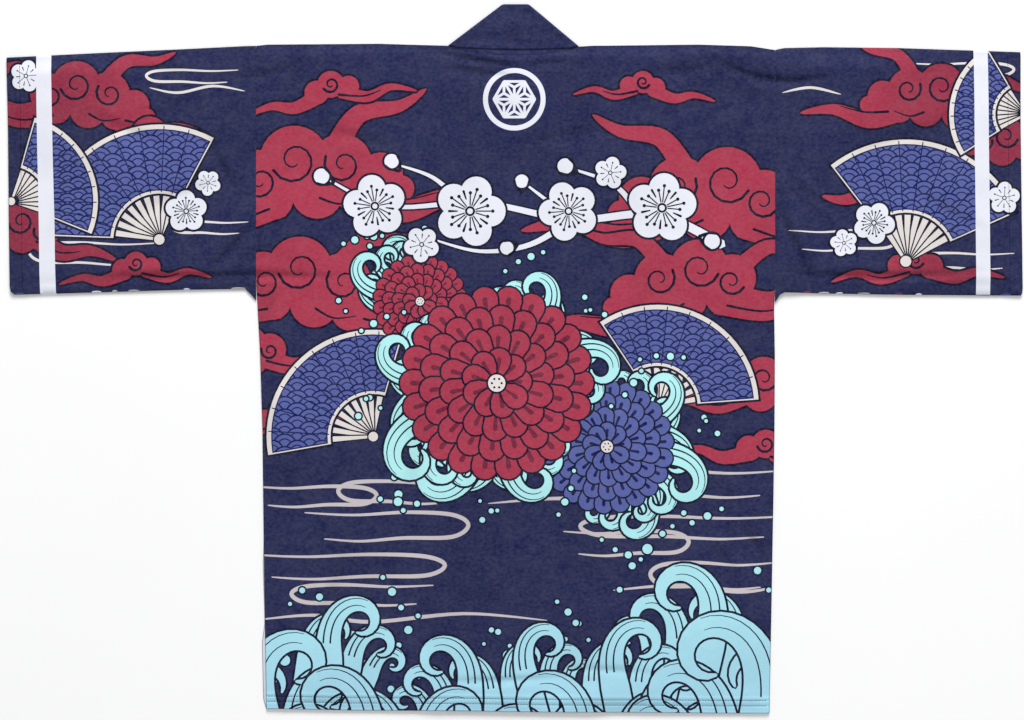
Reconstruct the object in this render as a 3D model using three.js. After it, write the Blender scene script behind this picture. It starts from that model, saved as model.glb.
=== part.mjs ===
// Happi coat laid flat on a surface with its back up: two fronts and the front runs of the
// collar band lie on the surface, the back lies over them, and each sleeve is a flat open tube.
// Millimetres, +Z up, +Y towards the collar, +X to the right as seen from above.
import * as THREE from 'three';

// Cloth
const CLOTH = 1.2;            // wall of one layer of cloth
const BAND = 2.4;             // collar band, the strip folded double
const GAP = 0.3;              // clearance at every seam and between layers
const OVER_FRONT = CLOTH + GAP;
const OVER_BAND = BAND + GAP;

// Cut
const BODY_LENGTH = 798;      // shoulder line to hem
const LEFT_HALF = 308.5;      // centre back to left armhole seam
const RIGHT_HALF = 313.5;     // centre back to right armhole seam
const SLEEVE_LENGTH = 298;    // armhole seam to cuff
const SLEEVE_DEPTH = 293;     // folded top edge to bottom seam
const NECK_HALF = 79;         // centre back to where the collar leaves the shoulder
const NECK_DROP = 3;          // how far the neck seam bows below the shoulder line
const COLLAR_RISE = 51.5;     // collar top edge above the neck seam
const COLLAR_TOP_HALF = 16;   // half of the straight top edge of the collar
const FOLD_ROOM = 6;          // shoulder line to the place where the band's seam edge starts to turn
const BAND_FREE = 26;         // centre to the free edge of the band, down the front

const LEFT = -1;
const RIGHT = 1;

// How far each side of the body lies inside its armhole seam, from hem (at 0) to shoulder (at 1)
const SIDE_EDGE = [
  { at: 0.0, left: 12.0, right: 6.5 },
  { at: 0.2, left: 9.5, right: 3.5 },
  { at: 0.42, left: 7.5, right: 0.5 },
  { at: 0.54, left: 4.5, right: 0.0 },
  { at: 0.61, left: 1.5, right: 1.0 },
  { at: 0.65, left: 0.0, right: 0.0 },
  { at: 1.0, left: 0.0, right: 0.0 },
];

// How far the left front shows past the back at its side, from hem to shoulder
const FRONT_PEEP = [
  { at: 0.0, out: 0.0 },
  { at: 0.015, out: 3.5 },
  { at: 0.1, out: 4.0 },
  { at: 0.13, out: 0.5 },
  { at: 0.22, out: 1.5 },
  { at: 0.26, out: 0.0 },
  { at: 1.0, out: 0.0 },
];

// Shoulder line and hem, as rises above their straight lines, along x
const SHOULDER_EDGE = [
  { x: -308.5, rise: 0.5 },
  { x: -295, rise: 2.0 },
  { x: -161, rise: 3.0 },
  { x: -79, rise: 0.5 },
  { x: 79, rise: -0.5 },
  { x: 95, rise: 0.5 },
  { x: 222, rise: 2.0 },
  { x: 285, rise: 0.0 },
  { x: 313.5, rise: -4.5 },
];
const HEM_EDGE = [
  { x: -308.5, rise: 2.5 },
  { x: -288, rise: 3.5 },
  { x: -190, rise: 1.5 },
  { x: -60, rise: 1.0 },
  { x: 40, rise: -0.5 },
  { x: 160, rise: -1.0 },
  { x: 250, rise: -2.0 },
  { x: 313.5, rise: -2.0 },
];

// Sleeve edges from armhole (at 0) to cuff (at 1): top edge above the shoulder line, bottom edge
// above the straight seam that lies SLEEVE_DEPTH below the shoulder line
const SLEEVE_EDGE = {
  [LEFT]: [
    { at: 0.0, top: 0.5, bottom: -12.0 },
    { at: 0.02, top: 0.5, bottom: -5.0 },
    { at: 0.045, top: 0.3, bottom: 2.0 },
    { at: 0.3, top: -3.5, bottom: 1.0 },
    { at: 0.63, top: -8.0, bottom: -2.0 },
    { at: 1.0, top: -13.5, bottom: -5.0 },
  ],
  [RIGHT]: [
    { at: 0.0, top: -4.5, bottom: -14.0 },
    { at: 0.02, top: -3.0, bottom: -5.0 },
    { at: 0.04, top: -2.0, bottom: -2.0 },
    { at: 0.2, top: -1.0, bottom: -3.5 },
    { at: 0.5, top: -2.0, bottom: -5.0 },
    { at: 1.0, top: -7.0, bottom: -6.0 },
  ],
};

// Cuff edge from its bottom corner (at 0) to its top corner (at 1), past or short of SLEEVE_LENGTH
const CUFF_EDGE = {
  [LEFT]: [
    { at: 0.0, out: -8.0 },
    { at: 0.012, out: -4.0 },
    { at: 0.035, out: -2.5 },
    { at: 0.3, out: -1.5 },
    { at: 0.7, out: -0.5 },
    { at: 1.0, out: 1.5 },
  ],
  [RIGHT]: [
    { at: 0.0, out: -3.0 },
    { at: 0.012, out: -1.5 },
    { at: 0.035, out: -1.0 },
    { at: 0.3, out: -2.0 },
    { at: 0.7, out: -3.5 },
    { at: 1.0, out: -3.5 },
  ],
};

// Broadest folds in the upper layer: middle of each ridge, bearing of its length in degrees
// from +X, and its length, width and height. y is above the hem line.
const FOLDS = [
  { x: 345, y: 772, bearing: -4, length: 230, width: 34, height: 2.6 },
  { x: -45, y: 742, bearing: -8, length: 190, width: 36, height: 1.8 },
  { x: 332, y: 545, bearing: 84, length: 210, width: 34, height: 2.4 },
  { x: 268, y: 225, bearing: 40, length: 180, width: 36, height: 2.2 },
  { x: -225, y: 500, bearing: 98, length: 260, width: 42, height: 1.8 },
  { x: 120, y: 20, bearing: 2, length: 240, width: 34, height: 1.6 },
  { x: -470, y: 560, bearing: 12, length: 200, width: 40, height: 1.8 },
];

const PRINTED_CLOTH = { color: 0x33375a, roughness: 0.88, metalness: 0 };
const COLLAR_CLOTH = { color: 0x323557, roughness: 0.9, metalness: 0 };

function lookUp(rows, key, at, column) {
  const last = rows.length - 1;
  if (at <= rows[0][key]) return rows[0][column];
  if (at >= rows[last][key]) return rows[last][column];
  const above = rows.findIndex((row) => row[key] >= at);
  const a = rows[above - 1];
  const b = rows[above];
  return THREE.MathUtils.mapLinear(at, a[key], b[key], a[column], b[column]);
}

// Fractions from 0 to 1 in even steps, with the fractions where an edge has a corner added
function fractions(count, corners) {
  const even = Array.from({ length: count + 1 }, (_, i) => i / count);
  const spacing = 0.3 / count;
  const kept = even.filter((f) => corners.every((c) => Math.abs(c - f) > spacing));
  return [...kept, ...corners].sort((a, b) => a - b);
}

function foldHeight(x, y) {
  let height = 0;
  for (const fold of FOLDS) {
    const turn = THREE.MathUtils.degToRad(fold.bearing);
    const dx = x - fold.x;
    const dy = y - fold.y;
    const along = dx * Math.cos(turn) + dy * Math.sin(turn);
    const across = dy * Math.cos(turn) - dx * Math.sin(turn);
    const reach = Math.max(0, 1 - (2 * along / fold.length) ** 2);
    height += fold.height * reach ** 2 * Math.exp(-((2 * across / fold.width) ** 2));
  }
  return height;
}

// Underside of the upper layer: it rests on the fronts and, near the centre, on the band
function upperFloor(x, y) {
  const onBand = 1 - THREE.MathUtils.smoothstep(Math.abs(x), 84, 122);
  return OVER_FRONT + (OVER_BAND - OVER_FRONT) * onBand + foldHeight(x, y);
}

function neckSeam(x) {
  const across = THREE.MathUtils.clamp(x / NECK_HALF, -1, 1);
  return BODY_LENGTH + lookUp(SHOULDER_EDGE, 'x', x, 'rise') - NECK_DROP * (1 - across ** 2);
}

function shoulder(x) {
  return Math.abs(x) < NECK_HALF ? neckSeam(x) - GAP : neckSeam(x);
}

function hem(x) {
  return lookUp(HEM_EDGE, 'x', x, 'rise');
}

function sideEdge(side, at) {
  const half = side === LEFT ? LEFT_HALF : RIGHT_HALF;
  return side * (half - lookUp(SIDE_EDGE, 'at', at, side === LEFT ? 'left' : 'right'));
}

function clothMesh(name, positions, triangles, finish) {
  const geometry = new THREE.BufferGeometry();
  geometry.setAttribute('position', new THREE.Float32BufferAttribute(positions, 3));
  geometry.setIndex(triangles);
  geometry.computeVertexNormals();
  const mesh = new THREE.Mesh(geometry, new THREE.MeshStandardMaterial(finish));
  mesh.name = name;
  return mesh;
}

// A sheet of constant thickness over a grid of places: at(column, row) gives [x, y, underside z]
function sheet(name, columns, rows, thickness, at, finish) {
  const positions = [];
  const triangles = [];
  for (const lift of [0, thickness]) {
    for (const row of rows) {
      for (const column of columns) {
        const [x, y, z] = at(column, row);
        positions.push(x, y, z + lift);
      }
    }
  }
  const across = columns.length;
  const layer = across * rows.length;
  const under = (c, r) => r * across + c;
  const over = (c, r) => layer + under(c, r);
  const quad = (a, b, c, d) => triangles.push(a, b, c, a, c, d);
  const lastColumn = across - 1;
  const lastRow = rows.length - 1;
  for (let r = 0; r < lastRow; r += 1) {
    for (let c = 0; c < lastColumn; c += 1) {
      quad(over(c, r), over(c + 1, r), over(c + 1, r + 1), over(c, r + 1));
      quad(under(c, r), under(c, r + 1), under(c + 1, r + 1), under(c + 1, r));
    }
  }
  for (let c = 0; c < lastColumn; c += 1) {
    quad(under(c, 0), under(c + 1, 0), over(c + 1, 0), over(c, 0));
    quad(under(c + 1, lastRow), under(c, lastRow), over(c, lastRow), over(c + 1, lastRow));
  }
  for (let r = 0; r < lastRow; r += 1) {
    quad(under(0, r + 1), under(0, r), over(0, r), over(0, r + 1));
    quad(under(lastColumn, r), under(lastColumn, r + 1), over(lastColumn, r + 1), over(lastColumn, r));
  }
  return clothMesh(name, positions, triangles, finish);
}

// An open tube through rings of points: each station has an outer and an inner ring of one length
function openTube(name, stations, finish) {
  const positions = [];
  const triangles = [];
  const ringLength = stations[0].outer.length;
  for (const station of stations) {
    for (const point of [...station.outer, ...station.inner]) positions.push(...point);
  }
  const outer = (s, p) => s * 2 * ringLength + (p % ringLength);
  const inner = (s, p) => outer(s, p) + ringLength;
  const quad = (a, b, c, d) => triangles.push(a, b, c, a, c, d);
  const last = stations.length - 1;
  for (let p = 0; p < ringLength; p += 1) {
    for (let s = 0; s < last; s += 1) {
      quad(outer(s, p), outer(s + 1, p), outer(s + 1, p + 1), outer(s, p + 1));
      quad(inner(s, p), inner(s, p + 1), inner(s + 1, p + 1), inner(s + 1, p));
    }
    quad(outer(0, p), outer(0, p + 1), inner(0, p + 1), inner(0, p));
    quad(outer(last, p + 1), outer(last, p), inner(last, p), inner(last, p + 1));
  }
  return clothMesh(name, positions, triangles, finish);
}

function backPanel() {
  const width = LEFT_HALF + RIGHT_HALF;
  const neckCorners = [LEFT, RIGHT].map((side) => (LEFT_HALF + side * NECK_HALF) / width);
  const columns = fractions(26, neckCorners);
  const rows = fractions(30, []);
  return sheet('back_panel', columns, rows, CLOTH, (column, row) => {
    const x = THREE.MathUtils.lerp(sideEdge(LEFT, row), sideEdge(RIGHT, row), column);
    const y = THREE.MathUtils.lerp(hem(x), shoulder(x), row);
    return [x, y, upperFloor(x, y)];
  }, PRINTED_CLOTH);
}

function frontPanel(name, side) {
  const frontEdge = side * (NECK_HALF + GAP);
  const columns = fractions(8, []);
  const rows = fractions(24, side === LEFT ? [0.015, 0.1, 0.13, 0.22, 0.26] : []);
  return sheet(name, columns, rows, CLOTH, (column, row) => {
    const peep = side === LEFT ? lookUp(FRONT_PEEP, 'at', row, 'out') : 0;
    const edges = [frontEdge, sideEdge(side, row) + side * peep];
    if (side === LEFT) edges.reverse();
    const x = THREE.MathUtils.lerp(edges[0], edges[1], column);
    return [x, THREE.MathUtils.lerp(hem(x), shoulder(x), row), 0];
  }, PRINTED_CLOTH);
}

function sleeve(name, side) {
  const half = side === LEFT ? LEFT_HALF : RIGHT_HALF;
  const bottomLine = BODY_LENGTH - SLEEVE_DEPTH;
  const lengthSteps = fractions(12, [0.02, 0.045]);
  const depthSteps = fractions(12, [0.012, 0.035]);
  const stationOrder = side === LEFT ? [...lengthSteps].reverse() : lengthSteps;
  const stations = stationOrder.map((along) => {
    const bottom = bottomLine + lookUp(SLEEVE_EDGE[side], 'at', along, 'bottom');
    const top = BODY_LENGTH + lookUp(SLEEVE_EDGE[side], 'at', along, 'top');
    const place = (depth) => {
      const reach = SLEEVE_LENGTH + lookUp(CUFF_EDGE[side], 'at', depth, 'out');
      return {
        x: side * (half + GAP + along * (reach - GAP)),
        y: THREE.MathUtils.lerp(bottom, top, depth),
      };
    };
    const outer = [];
    const inner = [];
    const edgePoint = (depth, inward) => {
      const { x, y } = place(depth);
      const middle = (2 * CLOTH + GAP) / 2;
      outer.push([x, y, middle]);
      inner.push([x, y + inward * CLOTH, middle]);
    };
    const layerPoint = (depth, outerZ, innerZ) => {
      const { x, y } = place(depth);
      const outerY = THREE.MathUtils.clamp(y, bottom + CLOTH / 2, top - CLOTH / 2);
      const innerY = THREE.MathUtils.clamp(y, bottom + CLOTH, top - CLOTH);
      outer.push([x, outerY, outerZ(x, y)]);
      inner.push([x, innerY, innerZ(x, y)]);
    };
    edgePoint(0, 1);
    for (const depth of depthSteps) {
      layerPoint(depth, () => 0, () => CLOTH);
    }
    edgePoint(1, -1);
    for (const depth of [...depthSteps].reverse()) {
      layerPoint(depth, (x, y) => upperFloor(x, y) + CLOTH, upperFloor);
    }
    return { outer: outer.reverse(), inner: inner.reverse() };
  });
  return openTube(name, stations, PRINTED_CLOTH);
}

// The collar strip as a ribbon: each station gives its free edge, its seam edge, and the levels
// of its outer and inner skins. It turns over on itself along a slanting fold at each shoulder.
function collarHalf(side) {
  const seamCorner = new THREE.Vector2(side * NECK_HALF, neckSeam(side * NECK_HALF));
  const topCorner = new THREE.Vector2(side * COLLAR_TOP_HALF, BODY_LENGTH + COLLAR_RISE);
  const fold = topCorner.clone().sub(seamCorner).normalize();
  const inward = new THREE.Vector2(-side * Math.abs(fold.y), -Math.abs(fold.x));
  const freeCorner = new THREE.Vector2(side * BAND_FREE, BODY_LENGTH);
  const underFree = freeCorner.clone().sub(topCorner).normalize();
  const underSeam = new THREE.Vector2(0, -1);
  const upperEdge = new THREE.Vector2(-side, 0);
  // The point on an edge leaving a corner at this depth in from the fold line
  const slide = (corner, direction, depth) => (
    corner.clone().addScaledVector(direction, depth / inward.dot(direction))
  );
  const frontRun = [0, 0.25, 0.5, 0.75, 1].map((at) => {
    const freeY = THREE.MathUtils.lerp(hem(side * BAND_FREE), BODY_LENGTH, at);
    const seamY = THREE.MathUtils.lerp(hem(side * NECK_HALF), BODY_LENGTH - FOLD_ROOM, at);
    const freePoint = new THREE.Vector2(side * BAND_FREE, freeY);
    const seamPoint = new THREE.Vector2(side * NECK_HALF, seamY);
    return { free: [freePoint, freePoint], seam: [seamPoint, seamPoint], levels: [0, BAND] };
  });
  const middle = (2 * BAND + GAP) / 2;
  const radii = [middle, GAP / 2];
  const turn = [-90, -45, 0, 45, 90].map((degrees) => {
    const angle = THREE.MathUtils.degToRad(degrees);
    const depths = radii.map((radius) => middle - radius * Math.cos(angle));
    const isUnder = degrees < 0;
    return {
      free: depths.map((d) => slide(topCorner, isUnder ? underFree : upperEdge, d)),
      seam: depths.map((d) => slide(seamCorner, isUnder ? underSeam : upperEdge, d)),
      levels: radii.map((radius) => middle + radius * Math.sin(angle)),
    };
  });
  return [...frontRun, ...turn];
}

function collar() {
  const left = collarHalf(LEFT);
  const right = collarHalf(RIGHT).reverse();
  const neck = [-0.6, -0.3, 0, 0.3, 0.6].map((across) => {
    const seamX = across * NECK_HALF;
    const seamPoint = new THREE.Vector2(seamX, neckSeam(seamX));
    const freePoint = new THREE.Vector2(across * COLLAR_TOP_HALF, BODY_LENGTH + COLLAR_RISE);
    return {
      free: [freePoint, freePoint],
      seam: [seamPoint, seamPoint],
      levels: [2 * BAND + GAP, BAND + GAP],
    };
  });
  const stations = [...left, ...neck, ...right];
  const positions = [];
  const triangles = [];
  for (const { free, seam, levels } of stations) {
    positions.push(free[0].x, free[0].y, levels[0]);
    positions.push(seam[0].x, seam[0].y, levels[0]);
    positions.push(seam[1].x, seam[1].y, levels[1]);
    positions.push(free[1].x, free[1].y, levels[1]);
  }
  const corners = 4;
  const last = stations.length - 1;
  for (let s = 0; s < last; s += 1) {
    for (let p = 0; p < corners; p += 1) {
      const a = s * corners + p;
      const b = s * corners + ((p + 1) % corners);
      triangles.push(a, b, b + corners, a, b + corners, a + corners);
    }
  }
  const end = last * corners;
  triangles.push(0, 2, 1, 0, 3, 2);
  triangles.push(end, end + 1, end + 2, end, end + 2, end + 3);
  return clothMesh('collar', positions, triangles, COLLAR_CLOTH);
}

const coat = new THREE.Group();
coat.add(
  frontPanel('front_left', LEFT),
  frontPanel('front_right', RIGHT),
  sleeve('sleeve_left', LEFT),
  sleeve('sleeve_right', RIGHT),
  backPanel(),
  collar(),
);

// The origin is the middle of the coat's box, on the surface it lies on
const box = new THREE.Box3().setFromObject(coat);
const centre = box.getCenter(new THREE.Vector3());
coat.position.set(-centre.x, -centre.y, -box.min.z);
coat.updateMatrixWorld(true);

export default coat;
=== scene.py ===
"""A happi coat laid flat with its back up: printed shells for its six cut pieces, and thread."""
import math
from functools import reduce

import bpy
import numpy as np
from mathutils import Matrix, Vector
from mathutils.geometry import delaunay_2d_cdt


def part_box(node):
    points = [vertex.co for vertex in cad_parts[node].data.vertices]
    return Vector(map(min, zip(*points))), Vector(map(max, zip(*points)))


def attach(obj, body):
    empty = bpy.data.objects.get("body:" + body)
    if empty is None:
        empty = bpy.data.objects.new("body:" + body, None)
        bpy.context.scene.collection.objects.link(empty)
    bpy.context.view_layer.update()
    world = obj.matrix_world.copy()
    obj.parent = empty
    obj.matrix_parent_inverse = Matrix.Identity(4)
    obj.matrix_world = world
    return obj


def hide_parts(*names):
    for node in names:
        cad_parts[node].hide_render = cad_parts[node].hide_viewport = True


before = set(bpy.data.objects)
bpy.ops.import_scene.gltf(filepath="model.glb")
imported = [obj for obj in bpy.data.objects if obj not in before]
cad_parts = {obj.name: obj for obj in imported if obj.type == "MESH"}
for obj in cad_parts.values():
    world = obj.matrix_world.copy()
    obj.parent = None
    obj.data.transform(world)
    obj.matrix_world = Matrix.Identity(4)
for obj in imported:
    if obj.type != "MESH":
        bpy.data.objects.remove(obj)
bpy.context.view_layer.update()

# ---------------------------------------------------------------- sizes of the coat
# Millimetres in the coat's own frame: x from the centre back, y up from the hem line.
MM = 0.001
LEFT, RIGHT = -1, 1
SIDE_NAME = {LEFT: "left", RIGHT: "right"}
CLOTH = 1.1                   # one layer of cloth
LAYER = 1.5                   # level of the upper layer's underside, over one layer below it
OVER_BAND = 2.7               # the same, over the folded band
BAND = 2.4                    # the folded band
GAP = 0.3                     # between two pieces at a seam
BODY_LENGTH = 798.0
HALF = {LEFT: 308.5, RIGHT: 313.5}      # from the centre back to each armhole seam
SLEEVE_LENGTH = 298.0
SLEEVE_DEPTH = 293.0
NECK_HALF = 79.0
NECK_DROP = 3.0
COLLAR_RISE = 50.2
COLLAR_TOP_HALF = 16.0
COLLAR_SKEW = 2.6             # its top fold lies this far to the right of its seam
NECK_LAP = 0.9                # it laps over the neck's edge by this much
FOLD_ROOM = 6.0               # the band's seam edge ends this far below the shoulder, to fold over
BAND_FREE = 26.0              # from the centre back to the band's free edges

# How far each side of the body lies inside its armhole seam, from hem (0) to shoulder (1)
SIDE_EDGE = {
    "at": [0.0, 0.2, 0.42, 0.54, 0.61, 0.65, 1.0],
    LEFT: [12.0, 9.5, 7.5, 4.5, 1.5, 0.0, 0.0],
    RIGHT: [6.5, 3.5, 0.5, 0.0, 1.0, 0.0, 0.0],
}
# How far the left front comes out past the back, from hem to shoulder
FRONT_PEEP = {
    "at": [0.0, 0.015, 0.1, 0.13, 0.22, 0.26, 1.0],
    "out": [0.0, 3.5, 4.0, 0.5, 1.5, 0.0, 0.0],
}
# How far each edge wavers off its straight line, outwards or up
SHOULDER_EDGE = {
    "x": [-308.5, -295, -161, -79, 79, 95, 222, 285, 313.5],
    "rise": [0.5, 2.0, 3.0, 0.5, -0.5, 0.5, 2.0, 0.0, -4.5],
}
HEM_EDGE = {
    "x": [-308.5, -288, -190, -60, 40, 160, 250, 313.5],
    "rise": [2.5, 3.5, 1.5, 1.0, -0.5, -1.0, -2.0, -2.0],
}
SLEEVE_EDGE = {
    LEFT: {
        "at": [0.0, 0.02, 0.045, 0.3, 0.63, 1.0],
        "top": [0.5, 0.5, 0.3, -3.5, -8.0, -13.5],
        "bottom": [-12.0, -5.0, 2.0, 1.0, -2.0, -5.0],
    },
    RIGHT: {
        "at": [0.0, 0.02, 0.04, 0.2, 0.5, 1.0],
        "top": [-4.5, -3.0, -2.0, -1.0, -2.0, -7.0],
        "bottom": [-14.0, -5.0, -2.0, -3.5, -5.0, -6.0],
    },
}
CUFF_EDGE = {
    LEFT: {"at": [0.0, 0.012, 0.035, 0.3, 0.7, 1.0], "out": [-8.0, -4.0, -2.5, -1.5, -0.5, 1.5]},
    RIGHT: {"at": [0.0, 0.012, 0.035, 0.3, 0.7, 1.0], "out": [-3.0, -1.5, -1.0, -2.0, -3.5, -3.5]},
}

BACK_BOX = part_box("back_panel")
ORIGIN_X = BACK_BOX[0][0] + HALF[LEFT] * MM
ORIGIN_Y = BACK_BOX[0][1] - min(HEM_EDGE["rise"]) * MM


def smooth_step(t):
    t = np.clip(t, 0, 1)
    return t * t * (3 - 2 * t)


def bell(distance, width):
    return np.exp(-((distance / width) ** 2))


def unit(vectors):
    return vectors / np.maximum(np.linalg.norm(vectors, axis=1, keepdims=True), 1e-9)


def hem(x):
    return np.interp(x, HEM_EDGE["x"], HEM_EDGE["rise"])


def shoulder(x):
    across = np.clip(np.asarray(x) / NECK_HALF, -1, 1)
    in_neck = np.abs(x) < NECK_HALF
    drop = NECK_DROP * (1 - across ** 2) + np.where(in_neck, GAP, 0.0)
    return BODY_LENGTH + np.interp(x, SHOULDER_EDGE["x"], SHOULDER_EDGE["rise"]) - drop


def height_share(x, y):
    """How far up the body a place is, from hem (0) to shoulder (1)."""
    return (y - hem(x)) / (shoulder(x) - hem(x))


def side_edge(side, at):
    return side * (HALF[side] - np.interp(at, SIDE_EDGE["at"], SIDE_EDGE[side]))


def sleeve_reach(side, depth):
    return SLEEVE_LENGTH + np.interp(depth, CUFF_EDGE[side]["at"], CUFF_EDGE[side]["out"])


def sleeve_rims(side, along):
    """The sleeve's bottom seam and its folded top, at a share of its length."""
    edge = SLEEVE_EDGE[side]
    bottom = BODY_LENGTH - SLEEVE_DEPTH + np.interp(along, edge["at"], edge["bottom"])
    return bottom, BODY_LENGTH + np.interp(along, edge["at"], edge["top"])


def sleeve_place(side, along, depth):
    """Where a point of the flat sleeve lies: along from armhole to cuff, depth from seam to fold."""
    bottom, top = sleeve_rims(side, along)
    x = side * (HALF[side] + GAP + along * (sleeve_reach(side, depth) - GAP))
    return np.stack([x + 0 * bottom, bottom + (top - bottom) * depth], axis=-1)


# ---------------------------------------------------------------- folds and levels
# Soft ridges (height above 0) and troughs (below 0) in the upper layer. Each row is the x and y of
# its middle, its bearing in degrees from +X, its length, its bend, the widths of its two flanks,
# and its height.
FOLDS = [
    (345, 772, -4, 230, 0.0, 15, 19, 2.6),
    (-45, 742, -8, 190, 0.0, 18, 18, 1.8),
    (332, 545, 84, 210, 0.0, 17, 17, 2.4),
    (268, 225, 40, 180, 0.0, 18, 18, 2.2),
    (-225, 500, 98, 260, 0.0, 21, 21, 1.8),
    (120, 20, 2, 240, 0.0, 17, 17, 1.6),
    (-470, 560, 12, 200, 0.0, 20, 20, 1.8),
]


def fold_height(x, y, folds):
    height = np.zeros(np.broadcast(x, y).shape)
    for middle_x, middle_y, bearing, length, bend, left, right, rise in folds:
        turn = math.radians(bearing)
        dx, dy = x - middle_x, y - middle_y
        along = dx * math.cos(turn) + dy * math.sin(turn)
        across = dy * math.cos(turn) - dx * math.sin(turn) - bend * (2 * along / length) ** 2
        width = np.where(across > 0, left, right)
        reach = np.clip(1 - (2 * along / length) ** 2, 0, 1) ** 2
        height += rise * reach * bell(across, width)
    return height


# Painted shade: colours darkened in the creases' troughs, by how deep they are
def painted_crease_shade(height):
    return 1 - PAINTED_CREASE_SHADE * np.clip(-height, 0, FULL_SHADE) / FULL_SHADE


# Sharper creases, in the same columns
CREASES = [
    # along the bottom seam of the left sleeve, with a rolled band below it, and on into the body
    (-392, 521, 1, 290, 3.0, 5, 6, -1.6),
    (-272, 522, -1, 170, 0.0, 5, 5, -1.0),
    (-400, 512, 1, 250, 2.0, 4, 4, 0.7),
    (-430, 533, 3, 120, 0.0, 8, 6, 0.7),
    # along the bottom seam of the right sleeve and up beside the armhole
    (437, 521, 0, 290, 10.0, 5, 6, -1.6),
    (336, 562, -66, 150, 2.0, 5, 5, -1.6),
    (432, 513, 0, 240, 5.0, 4, 4, 0.9),
    (351, 566, -64, 110, 2.0, 7, 7, 0.8),
    (420, 534, -2, 120, 0.0, 8, 6, 0.7),
    # right shoulder
    (309, 757, -8, 195, 29.0, 4.5, 5, -1.6),
    (197, 767, 2, 125, 3.0, 8, 8, -1.0),
    (300, 746, -6, 120, 14.0, 8, 7, 0.6),
    # left shoulder
    (-296, 764, 9, 110, 8.0, 6, 6, -0.9),
    (-420, 770, -4, 120, 4.0, 6, 7, -0.7),
    # below the collar
    (-45, 781, -11, 150, 4.0, 4.5, 5, -1.5),
    (-42, 766, -6, 110, 2.0, 5, 6, -1.1),
    (44, 778, 6, 70, -3.0, 5, 5, -0.8),
    # right sleeve, pale streaks and troughs that slant away from the armhole
    (359, 627, -43, 95, 2.0, 6, 6, 1.2),
    (368, 602, -36, 90, 2.0, 6, 6, 0.8),
    (350, 612, -44, 70, 0.0, 5, 5, -0.8),
    # left sleeve, the same
    (-337, 556, 48, 100, 3.0, 6, 6, -1.4),
    (-320, 541, 52, 70, 0.0, 6, 5, -0.8),
    (-350, 654, -63, 105, 4.0, 6, 6, -1.3),
    (-296, 478, 60, 90, 6.0, 7, 6, -0.8),
    # body
    (291, 199, -48, 80, 4.0, 5, 5, -1.3),
    (262, 186, -52, 90, 0.0, 8, 8, 0.9),
    (-12, 38, 2, 190, 3.0, 4, 5, -0.8),
    (110, 50, -3, 140, -2.0, 5, 4, -0.7),
    (-120, 300, 86, 240, 10.0, 12, 12, -0.7),
    (150, 420, 94, 220, -12.0, 12, 12, -0.7),
    (-215, 150, 70, 170, 8.0, 9, 9, -0.8),
    (60, 690, 12, 170, 6.0, 8, 8, -0.7),
    (-190, 690, -14, 150, -5.0, 7, 8, -0.8),
    # sleeves
    (-470, 700, -22, 150, 6.0, 7, 7, -0.8),
    (-400, 620, 18, 140, -6.0, 8, 8, -0.7),
    (-545, 610, 78, 150, 5.0, 7, 8, -0.7),
    (470, 690, 16, 160, -6.0, 8, 7, -0.8),
    (520, 600, -30, 130, 5.0, 7, 7, -0.7),
]

LOFT = 2.9                    # how far the upper layer stands off the lower one on average
CREASE_DEPTH = 2.2
PAINTED_CREASE_SHADE = 0.22           # painted shade: how much darker the colours are made in the deepest creases
FULL_SHADE = 1.5              # how deep a crease is where its painted shade is darkest
LOFT_WAVES = ((29, 23, 0.4, 0.5), (-37, 19, 2.6, 0.4), (11, -53, 4.4, 0.35), (59, 31, 1.2, 0.18))
LONG_RUN = 9000.0             # the length in which slow waves are counted
EDGE_REACH = 24.0             # the loft dies away this near the coat's outline
UNDERARM, UNDERARM_FADE = 25.0, 40.0    # it also dies away at the body's sides, from here downwards
BAND_EDGE, BAND_SLOPE = 84.0, 38.0      # the back comes down off the band from here, over this width
SOFT = 0.2                    # how softly hollows level off at the cloth's lowest level


def waves_of(rows, x, y):
    """Slow waves that wander: cycles in a long run of x and of y, where they start, and size."""
    out = 0.0
    for kx, ky, phase, size in rows:
        wander = 0.9 * np.sin(0.0013 * kx * y + phase) + 0.7 * np.sin(0.0017 * ky * x)
        out = out + size * np.sin(2 * math.pi * (kx * x + ky * y) / LONG_RUN + phase + wander)
    return out


def sleeve_coords(side, x, y):
    """How far a place on a sleeve is from each of its four edges."""
    depth = np.full(np.broadcast(x, y).shape, 0.5)
    for _ in range(3):
        reach = sleeve_reach(side, depth)
        along = (side * x - HALF[side] - GAP) / (reach - GAP)
        bottom, top = sleeve_rims(side, along)
        depth = (y - bottom) / (top - bottom)
    return dict(seam=y - bottom, fold=top - y, armhole=side * x - HALF[side] - GAP,
                cuff=(1 - along) * reach)


def edge_fade(x, y):
    """0 at the coat's outline, where the layers meet, and 1 well inside it."""
    x, y = np.broadcast_arrays(np.asarray(x, float), np.asarray(y, float))
    at = height_share(x, y)
    beside = smooth_step(np.minimum(x - side_edge(LEFT, at), side_edge(RIGHT, at) - x) / EDGE_REACH)
    below_sleeve = smooth_step((BODY_LENGTH - SLEEVE_DEPTH + UNDERARM - y) / UNDERARM_FADE)
    fade = smooth_step((y - hem(x)) / EDGE_REACH) * smooth_step((shoulder(x) - y) / (0.6 * EDGE_REACH))
    fade = fade * (1 - (1 - beside) * below_sleeve)
    for side in (LEFT, RIGHT):
        edges = sleeve_coords(side, x, y)
        in_sleeve = smooth_step(edges["seam"] / EDGE_REACH) * smooth_step(edges["cuff"] / EDGE_REACH)
        in_sleeve = in_sleeve * smooth_step(edges["fold"] / EDGE_REACH)
        fade = np.where(side * x > HALF[side], in_sleeve, fade)
    return fade


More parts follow.
